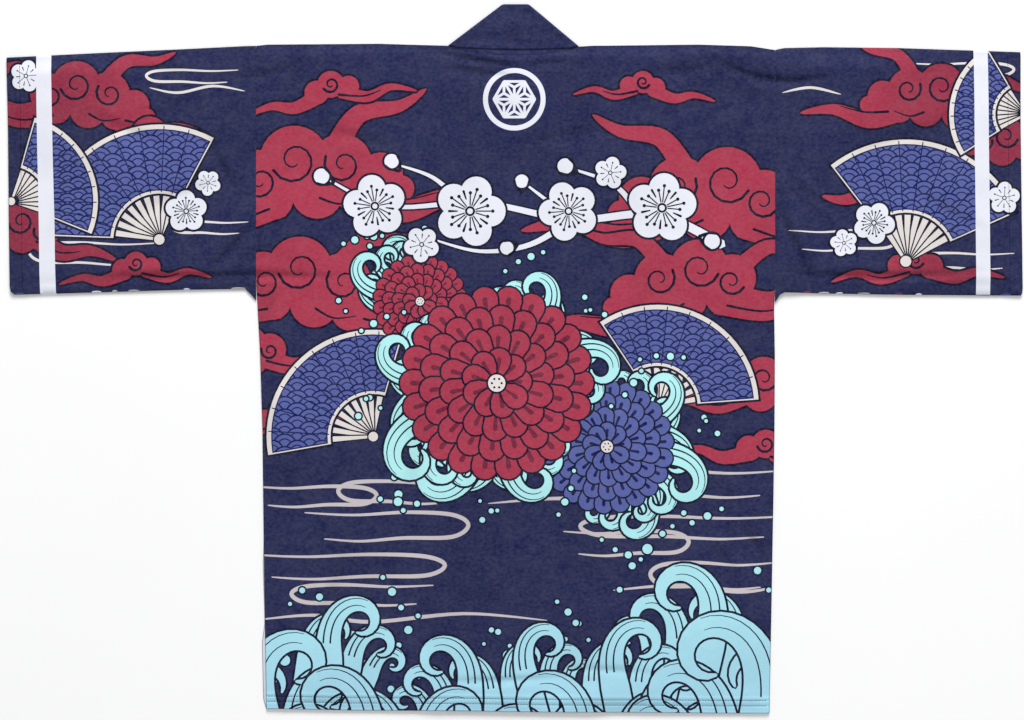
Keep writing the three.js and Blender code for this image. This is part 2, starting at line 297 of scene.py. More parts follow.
def upper_floor(x, y):
    """Underside of the upper layer, over the fronts or the band, with its folds and creases."""
    on_band = 1 - smooth_step((np.abs(x) - BAND_EDGE) / BAND_SLOPE)
    loose = LOFT + waves_of(LOFT_WAVES, x, y) + CREASE_DEPTH * fold_height(x, y, CREASES)
    rise = fold_height(x, y, FOLDS) + edge_fade(x, y) * loose
    soft_rise = 0.5 * (rise + np.sqrt(rise ** 2 + SOFT ** 2) - SOFT)
    return LAYER + (OVER_BAND - LAYER) * on_band + soft_rise


# ---------------------------------------------------------------- plane figures
def spline(points, closed=False, per_span=7):
    """A smooth curve through given points."""
    p = np.asarray(points, float)
    n = len(p)
    out = []
    spans = n if closed else n - 1
    t = np.linspace(0, 1, per_span, endpoint=False)[:, None]
    for i in range(spans):
        if closed:
            a, b, c, d = (p[(i + k) % n] for k in (-1, 0, 1, 2))
        else:
            a, b, c, d = p[max(i - 1, 0)], p[i], p[i + 1], p[min(i + 2, n - 1)]
        out.append(0.5 * (2 * b + (c - a) * t + (2 * a - 5 * b + 4 * c - d) * t ** 2
                          + (3 * b - a - 3 * c + d) * t ** 3))
    if not closed:
        out.append(p[-1:])
    return np.concatenate(out)


def arc(cx, cy, r, start, end, count=None):
    count = count or max(6, int(abs(end - start) / 12 * math.sqrt(max(r, 20) / 20)))
    a = np.radians(np.linspace(start, end, count + 1))
    return np.stack([cx + r * np.cos(a), cy + r * np.sin(a)], axis=1)


def disc(cx, cy, r, count=None):
    return arc(cx, cy, r, 0, 360, count or int(12 + 3 * math.sqrt(r)))[:-1]


def placed(points, x, y, size=1.0, turn=0.0, flip=False):
    p = np.asarray(points, float) * size
    if flip:
        p = p * [-1, 1]
    c, s = math.cos(math.radians(turn)), math.sin(math.radians(turn))
    return p @ np.array([[c, s], [-s, c]]) + [x, y]


def signed_area(p):
    q = np.roll(p, -1, axis=0)
    return 0.5 * float(np.sum(p[:, 0] * q[:, 1] - q[:, 0] * p[:, 1]))


def grow(p, by):
    """The outline moved outwards by a distance, or inwards if it is below 0."""
    p = np.asarray(p, float)
    keep = np.linalg.norm(p - np.roll(p, 1, axis=0), axis=1) > 1e-6
    p = p[keep]
    if signed_area(p) < 0:
        p = p[::-1]
    before = unit(p - np.roll(p, 1, axis=0))
    after = unit(np.roll(p, -1, axis=0) - p)
    normal = np.stack([before[:, 1] + after[:, 1], -before[:, 0] - after[:, 0]], axis=1)
    length = np.linalg.norm(normal, axis=1, keepdims=True)
    normal = normal / np.maximum(length, 1e-6)
    stretch = np.minimum(2 / np.maximum(length, 0.8), 1.9)
    return p + normal * stretch * by


def along_and_left(path):
    """Unit vectors along a path and to its left, at each point."""
    step = unit(np.gradient(path, axis=0))
    return step, np.stack([-step[:, 1], step[:, 0]], axis=1)


def sweep(path, widths):
    """The outline of a line along a path, as wide at each point as widths says."""
    p = np.asarray(path, float)
    step, left = along_and_left(p)
    half = 0.5 * np.broadcast_to(widths, len(p))[:, None]
    tip = p[-1] + step[-1] * half[-1] * 0.8
    foot = p[0] - step[0] * half[0] * 0.8
    return np.concatenate([p + left * half, [tip], (p - left * half)[::-1], [foot]])


def stroke(path, width, ends):
    """A line that narrows near both ends, to this share of its width."""
    t = np.linspace(0, 1, len(path))
    taper = ends + (1 - ends) * np.minimum(np.minimum(t, 1 - t) / 0.35, 1) ** 0.7
    return sweep(path, width * taper)


MOST_TESTS = 4_000_000        # of points against edges at a time


def inside(points, polygon):
    """Which points lie inside a polygon, by winding number."""
    found = np.zeros(len(points), bool)
    low, high = polygon.min(axis=0), polygon.max(axis=0)
    x, y = points[:, 0], points[:, 1]
    near = np.flatnonzero((x >= low[0]) & (x <= high[0]) & (y >= low[1]) & (y <= high[1]))
    a, b = polygon, np.roll(polygon, -1, axis=0)
    for chunk in np.array_split(near, max(1, len(near) * len(polygon) // MOST_TESTS)):
        x, y = points[chunk, 0][:, None], points[chunk, 1][:, None]
        side = (b[:, 0] - a[:, 0]) * (y - a[:, 1]) - (x - a[:, 0]) * (b[:, 1] - a[:, 1])
        up = (a[:, 1] <= y) & (b[:, 1] > y) & (side > 0)
        down = (a[:, 1] > y) & (b[:, 1] <= y) & (side < 0)
        found[chunk] = (up.sum(axis=1) - down.sum(axis=1)) != 0
    return found


# ---------------------------------------------------------------- inks
def srgb(r, g, b):
    c = np.array([r, g, b]) / 255
    return np.where(c <= 0.04045, c / 12.92, ((c + 0.055) / 1.055) ** 2.4)


INKS = {
    "navy": srgb(38, 42, 79),
    "line": srgb(20, 22, 44),
    "crimson": srgb(165, 56, 78),
    "wine": srgb(112, 38, 60),
    "periwinkle": srgb(86, 96, 158),
    "scale_line": srgb(24, 31, 80),
    "aqua": srgb(176, 234, 236),
    "greige": srgb(196, 188, 190),
    "bone": srgb(222, 216, 212),
    "white": srgb(226, 228, 238),
    "inside": srgb(206, 208, 220),
    "thread": srgb(33, 37, 66),
}
INK_NAMES = list(INKS)
HEM_SKY = srgb(160, 210, 230)
AQUA_TOP = 300.0              # above this height the aqua is greenest, at the hem it is sky blue
GARNET = srgb(132, 44, 66)
GARNET_FROM, GARNET_TO = 380.0, 560.0   # the sleeves' crimson darkens outwards between these


BESIDE_EDGE = 0.04            # how far to each side of an edge its inks are compared
LONGEST_EDGE, SHORTEST_EDGE = 6.0, 0.02
HALVINGS = 18                 # to find where an edge crosses an outline


class Print:
    """What is printed on one surface, painted in order: each figure covers those before it."""

    def __init__(self):
        self.figures = []

    def paint(self, ink, *polygons, clip=None):
        for polygon in polygons:
            self.figures.append((INK_NAMES.index(ink), np.asarray(polygon, float), clip))

    def outlined(self, ink, polygon, line=2.6):
        self.paint("line", grow(polygon, line))
        self.paint(ink, polygon)

    def joined(self, ink, shapes):
        """Several figures as one: shapes holds each with its outline figure."""
        self.paint("line", *[outline for _, outline in shapes])
        self.paint(ink, *[shape for shape, _ in shapes])

    def edges(self, region):
        """The figures' edges that show in the region, as point pairs."""
        pairs = []
        low, high = region.min(axis=0), region.max(axis=0)
        for _, polygon, clip in self.figures:
            if np.any(polygon.max(axis=0) < low) or np.any(polygon.min(axis=0) > high):
                continue
            a, b = divided(polygon, np.roll(polygon, -1, axis=0))
            if clip is not None:
                a, b = trimmed(a, b, clip)
                pairs.append(np.stack(divided(clip, np.roll(clip, -1, axis=0)), axis=1))
            pairs.append(np.stack([a, b], axis=1))
        pairs = self.seen(np.concatenate(pairs))
        return np.stack(trimmed(pairs[:, 0], pairs[:, 1], region), axis=1)

    def seen(self, pairs):
        """Those of the edges that have one ink on one side and another on the other."""
        a, b = pairs[:, 0], pairs[:, 1]
        run = b - a
        length = np.linalg.norm(run, axis=1, keepdims=True)
        side = np.stack([-run[:, 1], run[:, 0]], axis=1) / np.maximum(length, 1e-9) * BESIDE_EDGE
        shows = np.zeros(len(pairs), bool)
        for part in (0.06, 0.94):
            at = a + part * run
            shows |= self.ink_at(at + side) != self.ink_at(at - side)
        return pairs[shows & (length[:, 0] > SHORTEST_EDGE / 2)]

    def ink_at(self, points):
        """The ink at each point, from the last figure painted back to the navy ground."""
        order = np.argsort(points[:, 0])
        points = points[order]
        ink = np.full(len(points), -1)
        for index, polygon, clip in reversed(self.figures):
            reach = np.searchsorted(points[:, 0], (polygon[:, 0].min(), polygon[:, 0].max()))
            bare = reach[0] + np.flatnonzero(ink[reach[0]:reach[1]] < 0)
            hit = bare[inside(points[bare], polygon)]
            if clip is not None:
                hit = hit[inside(points[hit], clip)]
            ink[hit] = index
        ink[ink < 0] = INK_NAMES.index("navy")
        found = np.empty_like(ink)
        found[order] = ink
        return found


def divided(a, b):
    """Segments a to b, with those that are too long cut into equal parts."""
    parts = np.maximum(1, np.ceil(np.linalg.norm(b - a, axis=1) / LONGEST_EDGE).astype(int))
    which = np.repeat(np.arange(len(a)), parts)
    part = np.arange(len(which)) - np.repeat(np.cumsum(parts) - parts, parts)
    share = (part / parts[which])[:, None]
    run = (b - a)[which]
    return a[which] + run * share, a[which] + run * (share + (1 / parts[which])[:, None])


def trimmed(a, b, region):
    """The parts of segments a to b that lie in a region, each crossing found by halving."""
    in_a, in_b = inside(a, region), inside(b, region)
    kept = in_a & in_b
    cross = in_a ^ in_b
    if not cross.any():
        return a[kept], b[kept]
    inner = np.where(in_a[cross][:, None], a[cross], b[cross])
    outer = np.where(in_a[cross][:, None], b[cross], a[cross])
    low, high = inner.copy(), outer.copy()
    for _ in range(HALVINGS):
        middle = (low + high) / 2
        is_in = inside(middle, region)[:, None]
        low, high = np.where(is_in, middle, low), np.where(is_in, high, middle)
    long_enough = np.linalg.norm(low - inner, axis=1) > SHORTEST_EDGE
    return (np.concatenate([a[kept], inner[long_enough]]),
            np.concatenate([b[kept], low[long_enough]]))


def ink_colours(inks, points):
    """The colour of each point: its ink, with aqua turning to sky blue towards the hem."""
    table = np.array([INKS[name] for name in INK_NAMES])
    colours = table[inks]
    fade = np.clip(points[:, 1] / AQUA_TOP, 0, 1)[:, None]
    is_aqua = (inks == INK_NAMES.index("aqua"))[:, None]
    colours = np.where(is_aqua, HEM_SKY + (colours - HEM_SKY) * fade, colours)
    outward = (np.abs(points[:, 0]) - GARNET_FROM) / (GARNET_TO - GARNET_FROM)
    dark = 0.8 * smooth_step(outward)[:, None] * (inks == INK_NAMES.index("crimson"))[:, None]
    return colours + (GARNET - colours) * dark


# ---------------------------------------------------------------- motifs
LINE = 2.7                    # dark outline round every figure


def swept(path, widths, line=LINE):
    """A swept figure with its outline figure, for Print.joined."""
    widths = np.broadcast_to(widths, len(path))
    return sweep(path, widths), sweep(path, widths + 2 * line)


def round_one(x, y, r, line=LINE):
    return disc(x, y, r), disc(x, y, r + line)


def narrowing(count, width, start=1.0, end=0.0, power=0.8):
    """Widths from one end of a figure to the other."""
    t = np.linspace(0, 1, count)
    return width * (end + (start - end) * (1 - t) ** power)


def curl(x, y, length, heading, bend, tighten=2.0, count=20):
    """A path that sets off along its heading and bends more and more towards its end."""
    t = np.linspace(0, 1, count)
    angle = np.radians(heading + bend * t ** tighten)
    step = length / (count - 1)
    run = np.stack([np.cos(angle), np.sin(angle)], axis=1) * step
    return np.array([x, y]) + np.concatenate([[[0, 0]], np.cumsum(run[:-1], axis=0)])


def shifted(path, by):
    """A path moved sideways, to its left if by is above 0."""
    return path + by * along_and_left(path)[1]


def spiral(x, y, r, start, turns, count=18):
    t = np.linspace(0, 1, count)
    angle = np.radians(start + 360 * turns * t)
    radius = r * (1 - 0.8 * t)
    return np.stack([x + radius * np.cos(angle), y + radius * np.sin(angle)], axis=1)


def blossom(design, x, y, r, turn):
    """A plum blossom seen from above: five round petals, stamens and a round middle."""
    petals = [placed([[0.55 * r, 0]], x, y, turn=turn + 72 * k)[0] for k in range(5)]
    design.joined("white", [round_one(px, py, 0.42 * r) for px, py in petals] + [round_one(x, y, 0.4 * r)])
    for k in range(5):
        gap = placed([[0.34 * r, 0], [0.58 * r, 0]], x, y, turn=turn + 36 + 72 * k)
        design.paint("line", sweep(gap, [0.035 * r, 0.07 * r]))
        for lean in (-17, 0, 17) if r > 24 else (0,):
            reach = 0.5 if lean else 0.62
            stamen = placed([[0.16 * r, 0], [reach * r, 0]], x, y, turn=turn + 72 * k + lean)
            design.paint("line", sweep(stamen, 0.035 * r))
            design.paint("line", disc(stamen[1][0], stamen[1][1], 0.05 * r, 8))
    design.paint("line", disc(x, y, 0.14 * r, 14))
    design.paint("white", disc(x, y, 0.08 * r, 12))


def bud(design, x, y, r, turn):
    """A bud in its calyx, turned to face along its twig."""
    design.joined("white", [round_one(x, y, 0.62 * r)])
    calyx = [placed(spline([[-1.1, 0], [-0.5, side * 0.5], [0.1, side * 0.62]]), x, y, r, turn)
             for side in (-1, 1)]
    for run in calyx:
        design.paint("line", sweep(run, narrowing(len(run), 0.3 * r, end=0.2)))


def petal(inner, outer, width):
    tip = outer - width / 2
    return np.concatenate([
        [[inner, -0.2 * width], [0.5 * (inner + tip), -0.42 * width]],
        arc(tip, 0, width / 2, -90, 90, 8),
        [[0.5 * (inner + tip), 0.42 * width], [inner, 0.2 * width]],
    ])


# Rings of a chrysanthemum from the outside in: where its petals start and end, as parts of the
# flower's radius, how many there are, and how far the ring is turned
FLOWER_RINGS = (
    (0.5, 1.0, 22, 0.0),
    (0.34, 0.8, 18, 6.0),
    (0.2, 0.59, 14, 11.0),
    (0.08, 0.36, 9, 4.0),
)


def chrysanthemum(design, x, y, r, ink="crimson", shade="wine", turn=0.0):
    line = 1.2 + 0.009 * r
    design.paint("line", disc(x, y, 0.8 * r, 40))
    for inner, outer, petals, ring_turn in FLOWER_RINGS:
        width = 2.1 * math.pi * outer * r * 0.9 / petals
        shape = petal(inner * r, outer * r, width)
        middle = np.array([[inner * r * 1.2, 0], [outer * r - 0.45 * width, 0]])
        for k in range(petals):
            angle = turn + ring_turn + 360 * k / petals
            design.outlined(ink, placed(shape, x, y, turn=angle), line=line)
            design.paint(shade, placed(sweep(middle, [0.05 * width, 0.2 * width]), x, y, turn=angle))
    design.joined("bone", [round_one(x, y, 0.09 * r, line)])
    for k in range(6):
        px, py = placed([[0.05 * r, 0]], x, y, turn=60 * k + turn)[0]
        design.paint("line", disc(px, py, 0.013 * r, 6))


def seigaiha(design, region, radius):
    """Rows of overlapping round scales that fill a region, each row over the one above it."""
    low, high = region.min(axis=0), region.max(axis=0)
    rows = int((high[1] - low[1]) / (0.5 * radius)) + 3
    columns = int((high[0] - low[0]) / (2 * radius)) + 3
    for row in range(rows):
        y = high[1] + 0.2 * radius - 0.5 * radius * row
        for column in range(columns):
            x = low[0] - radius + 2 * radius * (column + 0.5 * (row % 2))
            near = disc(x, y, 1.05 * radius, 8)
            if not inside(near, region).any():
                continue
            for part, width in ((1.0, 1.9), (0.6, 1.4)):
                design.paint("scale_line", disc(x, y, part * radius, 20), clip=region)
                design.paint("periwinkle", disc(x, y, part * radius - width, 20), clip=region)


def fan(design, x, y, r, start, sweep_by, scale=15.0):
    """An open folding fan: ribs from its pivot, and a leaf of round scales with pale rims."""
    inner = 0.4 * r
    ribs = 9
    for k in range(ribs):
        angle = start + sweep_by * (k + 0.5) / ribs
        rib = placed([[0.0, 0], [inner + 4, 0]], x, y, turn=angle)
        design.outlined("bone", sweep(rib, [0.02 * r, 0.055 * r]), line=1.6)
    leaf = np.concatenate([arc(x, y, r, start, start + sweep_by),
                           arc(x, y, inner, start + sweep_by, start)])
    design.outlined("bone", leaf)
    pad = math.degrees(3.2 / r)
    field = np.concatenate([arc(x, y, r - 7, start + pad, start + sweep_by - pad),
                            arc(x, y, inner + 5, start + sweep_by - 2 * pad, start + 2 * pad)])
    design.paint("scale_line", grow(field, 1.5))
    design.paint("periwinkle", field)
    seigaiha(design, field, scale)
    for k in range(1, ribs):
        angle = start + sweep_by * k / ribs
        design.paint("scale_line", sweep(placed([[inner + 2, 0], [r - 2, 0]], x, y, turn=angle), 1.3))
    design.joined("bone", [round_one(x, y, 0.045 * r, 1.6)])


# A stylised wave by its curls, the last in front: x and y of the foot, length, heading, bend, width
WAVE_CURLS = (
    (-40, -14, 118, 88, -215, 30),
    (56, -30, 98, 74, -300, 26),
    (26, -22, 132, 84, -290, 32),
    (-8, -12, 182, 97, -310, 40),
)
# Drops of foam round the wave's crest: place and radius
FOAM = ((76, 96, 6.0), (92, 74, 4.2), (60, 116, 3.6), (-58, 84, 4.4), (104, 44, 3.4), (-74, 62, 3.0))


def wave(design, x, y, size, flip, lean=0.0, stem=0.0):
    """A stylised wave: curls that rise from below, each on a stem."""
    side = -1 if flip else 1
    for foot_x, foot_y, length, heading, bend, width in WAVE_CURLS:
        foot = placed([[foot_x, foot_y]], x, y, size, side * lean, flip)[0]
        heading = 90 + side * (heading - 90 + lean)
        path = curl(foot[0], foot[1], length * size, heading, side * bend, count=26)
        width = width * size
        widths = narrowing(len(path), width, end=0.07)
        below = stem * np.array([[-math.cos(math.radians(heading)), -math.sin(math.radians(heading))]])
        design.joined("aqua", [swept(np.concatenate([foot + below, path]), np.append(width, widths))])
        for by in (0.2, -0.06):
            run = shifted(path[:17], side * by * width)[3:]
            design.paint("line", sweep(run, narrowing(len(run), 2.1, end=0.35)))


def foam(design, x, y, size, flip, lean=0.0, _stem=0.0):
    """Drops round the crest of the wave that has the same place, size and turn."""
    for fx, fy, r in FOAM:
        px, py = placed([[fx, fy]], x, y, size, -lean if flip else lean, flip)[0]
        design.joined("aqua", [round_one(px, py, r * max(size, 0.7), 2.0)])


def each(draw, design, rows):
    for row in rows:
        draw(design, *row)


def sea(design, waves):
    """Waves with their foam behind them. Each row is what wave needs."""
    each(foam, design, waves)
    each(wave, design, waves)


def burst(design, x, y, r, rows):
    """Waves that break outwards from under a flower: where each sets off, its size and its turn."""
    waves = []
    for angle, size, flip in rows:
        foot = placed([[0.8 * r, 0]], x, y, turn=angle)[0]
        waves.append((foot[0], foot[1], size, flip, (90 - angle) if flip else (angle - 90)))
    sea(design, waves)


def cloud(design, form, x, y, size, flip=False, turn=0.0):
    """A lobed cloud with trailing ends and a spiral drawn in each large lobe."""
    form = CLOUDS[form]
    shapes = []
    for lx, ly, r in form["lobes"]:
        px, py = placed([[lx, ly]], x, y, size, turn, flip)[0]
        shapes.append(round_one(px, py, r * size))
    for points, width in form["tails"]:
        path = placed(spline(points), x, y, size, turn, flip)
        shapes.append(swept(path, narrowing(len(path), width * size, end=0.05, power=0.7)))
    design.joined("crimson", shapes)
    side = -1 if flip else 1
    for lx, ly, r, start in form["spirals"]:
        px, py = placed([[lx, ly]], x, y, size, turn, flip)[0]
        first = 90 + side * (start - 90) + turn
        run = spiral(px, py, r * size, first, side * 1.3)
        design.paint("line", sweep(run, narrowing(len(run), 3.4, start=1.0, end=0.4)))
    for line in form["lines"]:
        path = placed(spline(line), x, y, size, turn, flip)
        design.paint("line", sweep(path, narrowing(len(path), 3.2, end=0.25)))


# Clouds by their lobes (place and radius), trailing ends (points and width), spirals (place, radius
# and where each starts) and inner lines
CLOUDS = {
    "bank": dict(
        lobes=((0, 0, 30), (40, 16, 37), (90, 8, 33), (131, -6, 24), (62, -20, 28), (104, -24, 22),
               (14, -24, 22), (152, -22, 14)),
        tails=(
            (((20, -22), (-42, -40), (-98, -26), (-152, -38), (-196, -30)), 44),
            (((100, -26), (150, -46), (206, -34), (258, -44)), 34),
            (((84, 24), (112, 60), (156, 66), (186, 82)), 26),
            (((-6, 8), (-48, 34), (-88, 26), (-118, 38)), 24),
        ),
        spirals=((40, 16, 25, 200), (92, 8, 21, 150), (2, -4, 18, 210)),
        lines=(((120, -30), (158, -34), (196, -28)), ((10, -34), (-40, -46), (-92, -34)),
               ((64, -26), (86, -34), (112, -28))),
    ),
    "puff": dict(
        lobes=((0, 0, 27), (30, -10, 22), (-27, -9, 20), (4, -20, 22)),
        tails=(
            (((20, -18), (58, -34), (98, -26), (134, -34)), 28),
            (((-18, -18), (-56, -30), (-88, -22)), 22),
        ),
        spirals=((0, 0, 18, 190), (30, -11, 12, 160)),
        lines=(((24, -24), (56, -34), (84, -29)),),
    ),
    "trail": dict(
        lobes=((0, 0, 17), (22, 8, 19), (46, 1, 15)),
        tails=(
            (((34, -4), (70, -18), (104, -10), (140, -22)), 20),
            (((0, -6), (-34, -16), (-66, -8), (-104, -16)), 22),
        ),
        spirals=((22, 8, 12, 200),),
        lines=(((30, -8), (64, -16), (90, -12)),),
    ),
}


def stream(design, x, y, length, gap, flip, width=5.0, ink="greige"):
    """A line of running water that turns back on itself in a hairpin."""
    hairpin = [[0, 0.1], [0.3, 0.0], [0.62, 0.12], [0.9, 0.02], [1.0, -0.42], [0.9, -0.93], [0.6, -0.98],
               [0.34, -1.12], [0.12, -1.02]]
    path = placed(spline(np.array(hairpin) * [length, gap]), x, y, flip=flip)
    design.paint(ink, stroke(path, width, 0.25))


def ripple_line(design, points, width=4.5, ink="greige"):
    design.paint(ink, stroke(spline(points), width, 0.2))


def hemp_roundel(design, x, y, r):
    """A ring round a hemp-leaf star."""
    ring = 0.16 * r
    design.paint("white", disc(x, y, r, 60))
    design.paint("navy", disc(x, y, r - ring, 60))
    star = 0.78 * (r - ring)
    width = 0.085 * r
    for k in range(6):
        tip = [star, 0]
        left, right = star * np.array([[math.cos(math.radians(a)), math.sin(math.radians(a))]
                                       for a in (60, 30)])
        hollow = right * 0.58
        for run in ([[0, 0], tip], [[0, 0], hollow], [tip, hollow], [left, hollow], [tip, left]):
            design.paint("white", placed(sweep(run, width), x, y, turn=60 * k))


# ---------------------------------------------------------------- prints
def twig(design, points, width):
    path = spline(points)
    design.joined("white", [swept(path, narrowing(len(path), width, end=0.2), 2.0)])


def back_print():
    design = Print()
    each(stream, design, (
        (-312, 268, 148, 20, False), (-250, 236, 196, 28, False), (-60, 274, 150, 22, True),
        (-318, 186, 236, 24, False), (318, 286, 190, 26, True), (330, 232, 250, 22, True),
        (60, 214, 150, 24, False), (-96, 150, 170, 20, True), (314, 176, 150, 26, True)))
    for points in (((-308, 110), (-240, 116), (-170, 108), (-60, 118), (40, 110)),
                   ((120, 146), (200, 152), (270, 144), (320, 150)),
                   ((-30, 250), (60, 256), (140, 248), (220, 256))):
        ripple_line(design, points)
    each(cloud, design, (
        ("bank", -306, 640, 1.12, False, 4), ("bank", -300, 520, 1.05, False, -8),
        ("puff", -320, 440, 0.9, False, 6), ("trail", -262, 352, 0.8, True, 4),
        ("trail", -236, 742, 0.85, False, 10), ("bank", 300, 616, 1.12, True, -2),
        ("bank", 262, 520, 0.95, True, 6), ("puff", 300, 400, 0.95, True),
        ("trail", 282, 316, 0.9, False, -6), ("trail", 170, 748, 0.7, True, -4)))
    each(fan, design, ((-168, 330, 128, 74, 116), (172, 366, 122, 4, 120)))
    burst(design, 112, 318, 80, ((-58, 0.62, False), (34, 0.62, True), (-12, 0.74, False)))
    chrysanthemum(design, 112, 318, 80, "periwinkle", "scale_line", turn=5)
    burst(design, -112, 492, 56, ((104, 0.46, True), (160, 0.56, False)))
    chrysanthemum(design, -112, 492, 56, turn=9)
    burst(design, -20, 394, 116, ((58, 0.6, True), (18, 0.66, False), (172, 0.66, False), (282, 0.66, True),
                                  (248, 0.78, False), (210, 0.84, True)))
    chrysanthemum(design, -20, 394, 116)
    sea(design, ((-214, 74, 0.8, False, -6, 80), (226, 92, 1.0, True, 6, 90),
                 (22, 46, 0.7, False, 8, 60), (-60, 26, 0.8, True, -4, 50), (128, 40, 0.84, False, 4, 60),
                 (-292, 0, 1.15, False, 4), (-184, -30, 1.05, True, -6), (-92, -46, 0.9, False, 2),
                 (66, -46, 1.1, True, 6), (176, -30, 1.0, False, 0), (286, 4, 1.4, True, -2)))
    each(twig, design, (
        (((250, 560), (170, 596), (70, 590), (-40, 610), (-150, 606), (-226, 640)), 11),
        (((70, 590), (20, 560), (-40, 552), (-96, 566)), 8),
        (((150, 598), (120, 632), (66, 652)), 8),
        (((-60, 608), (-96, 640), (-140, 656)), 7),
        (((70, 590), (36, 616), (10, 636)), 6)))
    each(blossom, design, ((178, 604, 43, 12), (66, 600, 37, 40), (-52, 600, 44, 0),
                           (-166, 606, 39, 28), (116, 646, 20, 5), (-110, 560, 22, 50)))
    each(bud, design, ((62, 654, 15, 150), (-146, 660, 14, 130), (-230, 642, 15, 150),
                       (-8, 556, 13, 200), (238, 564, 15, -20), (10, 636, 13, 90)))
    hemp_roundel(design, 1, 734, 37.5)
    return design


STRIPE = {LEFT: ((-572.5, -554.5), (-567.5, -548.5)), RIGHT: ((551.5, 568.5), (554.5, 571.5))}
FOOT_LEVEL = 500.0            # below the sleeve's bottom seam
FOLD_TOP = 800.0              # above its folded edge


def stripe(design, side):
    """The plain white stripe before the cuff: its two edges at the fold and at the seam."""
    (top_a, top_b), (foot_a, foot_b) = STRIPE[side]
    quad = [(foot_a, FOOT_LEVEL), (foot_b, FOOT_LEVEL), (top_b, FOLD_TOP), (top_a, FOLD_TOP)]
    design.paint("white", quad)


# Where the print of the sleeve's other half comes over its bottom seam: place, length and ink
SEAM_PEEK = {
    LEFT: ((-500, 10, "white"), (-478, 5, "bone"), (-455, 12, "greige"), (-330, 16, "bone"),
           (-392, 6, "white"), (-592, 10, "periwinkle")),
    RIGHT: ((352, 9, "crimson"), (372, 12, "bone"), (391, 7, "white"), (420, 14, "greige"),
            (462, 8, "crimson"), (590, 12, "periwinkle"), (486, 6, "white")),
}


def seam_peek(design, side):
    for x, length, ink in SEAM_PEEK[side]:
        y = float(sleeve_place(side, (side * x - HALF[side]) / SLEEVE_LENGTH, 0.0)[1])
        dash = spline([[x - length / 2, y + 0.4], [x, y + 1.0], [x + length / 2, y + 0.5]])
        design.paint(ink, sweep(dash, 1.7))


# What the two sleeves show, in the order it is painted
SLEEVE_FIGURES = {
    LEFT: dict(
        streams=((-330, 768, 110, 13, True), (-420, 560, 160, 22, True), (-318, 586, 90, 12, True)),
        ripple=((-322, 744), (-360, 750), (-402, 742), (-436, 748)),
        clouds=(("bank", -556, 742, 0.78, False, -6), ("puff", -436, 692, 0.8, True, 8),
                ("puff", -590, 588, 0.9, False, -8), ("trail", -468, 530, 0.75, False, 4)),
        fans=((-424, 566, 138, 62, 116), (-602, 612, 104, -22, 96, 13)),
        blossoms=((-392, 600, 26, 20), (-366, 634, 16, 50), (-584, 762, 20, 5)),
    ),
    RIGHT: dict(
        streams=((470, 776, 130, 14, False), (330, 575, 130, 20, False), (600, 548, 120, 16, True)),
        ripple=((322, 742), (356, 748), (392, 740)),
        clouds=(("bank", 542, 734, 0.76, True, -5), ("puff", 446, 646, 0.9, False, 6),
                ("puff", 590, 690, 0.85, True, -4), ("trail", 500, 534, 0.85, True)),
        fans=((470, 540, 146, 24, 104), (614, 716, 92, 120, 92, 13)),
        blossoms=((432, 586, 26, -8), (396, 562, 17, 30), (588, 616, 20, 15)),
    ),
}


def sleeve_print(side):
    design = Print()
    figures = SLEEVE_FIGURES[side]
    for row in figures["streams"]:
        stream(design, *row, width=3.4, ink="bone")
    ripple_line(design, figures["ripple"], 3.2, "bone")
    each(cloud, design, figures["clouds"])
    each(fan, design, figures["fans"])
    each(blossom, design, figures["blossoms"])
    stripe(design, side)
    seam_peek(design, side)
    return design


def sleeve_under_print(side):
    design = Print()
    cloud(design, "bank", side * 420, 700, 0.8, side == LEFT)
    cloud(design, "trail", side * 400, 556, 0.8)
    stripe(design, side)
    return design


def front_print(side):
    design = Print()
    for x, y, length, gap in ((96, 176, 180, 22), (150, 140, 150, 20)):
        stream(design, side * x, y, length, gap, side == LEFT)
    cloud(design, "bank", side * 286, 470, 0.8, side == RIGHT)
    cloud(design, "puff", side * 300, 640, 0.7, side == RIGHT)
    sea(design, [(side * x, y, size, flip == (side == RIGHT)) for x, y, size, flip in (
        (120, -20, 0.9, False), (210, -24, 1.05, True), (292, -4, 1.0, False))])
    return design


# ---------------------------------------------------------------- cloth meshes
def grid_points(loop, spacing):
    low, high = loop.min(axis=0), loop.max(axis=0)
    xs = np.arange(low[0] + spacing / 2, high[0], spacing)
    ys = np.arange(low[1] + spacing / 2, high[1], spacing * 0.866)
    x, y = np.meshgrid(xs, ys)
    x[1::2] += spacing / 2
    points = np.stack([x.ravel(), y.ravel()], axis=1)
    return points[inside(points, grow(loop, -0.45 * spacing))]


def cloth_points(loop, spacing):
    """The same, closer together where the cloth is creased."""
    wide, close = grid_points(loop, spacing), grid_points(loop, CREASE_GRID)
    creased = [np.abs(fold_height(p[:, 0], p[:, 1], CREASES)) > 0.06 for p in (wide, close)]
    return np.concatenate([wide[~creased[0]], close[creased[1]]])


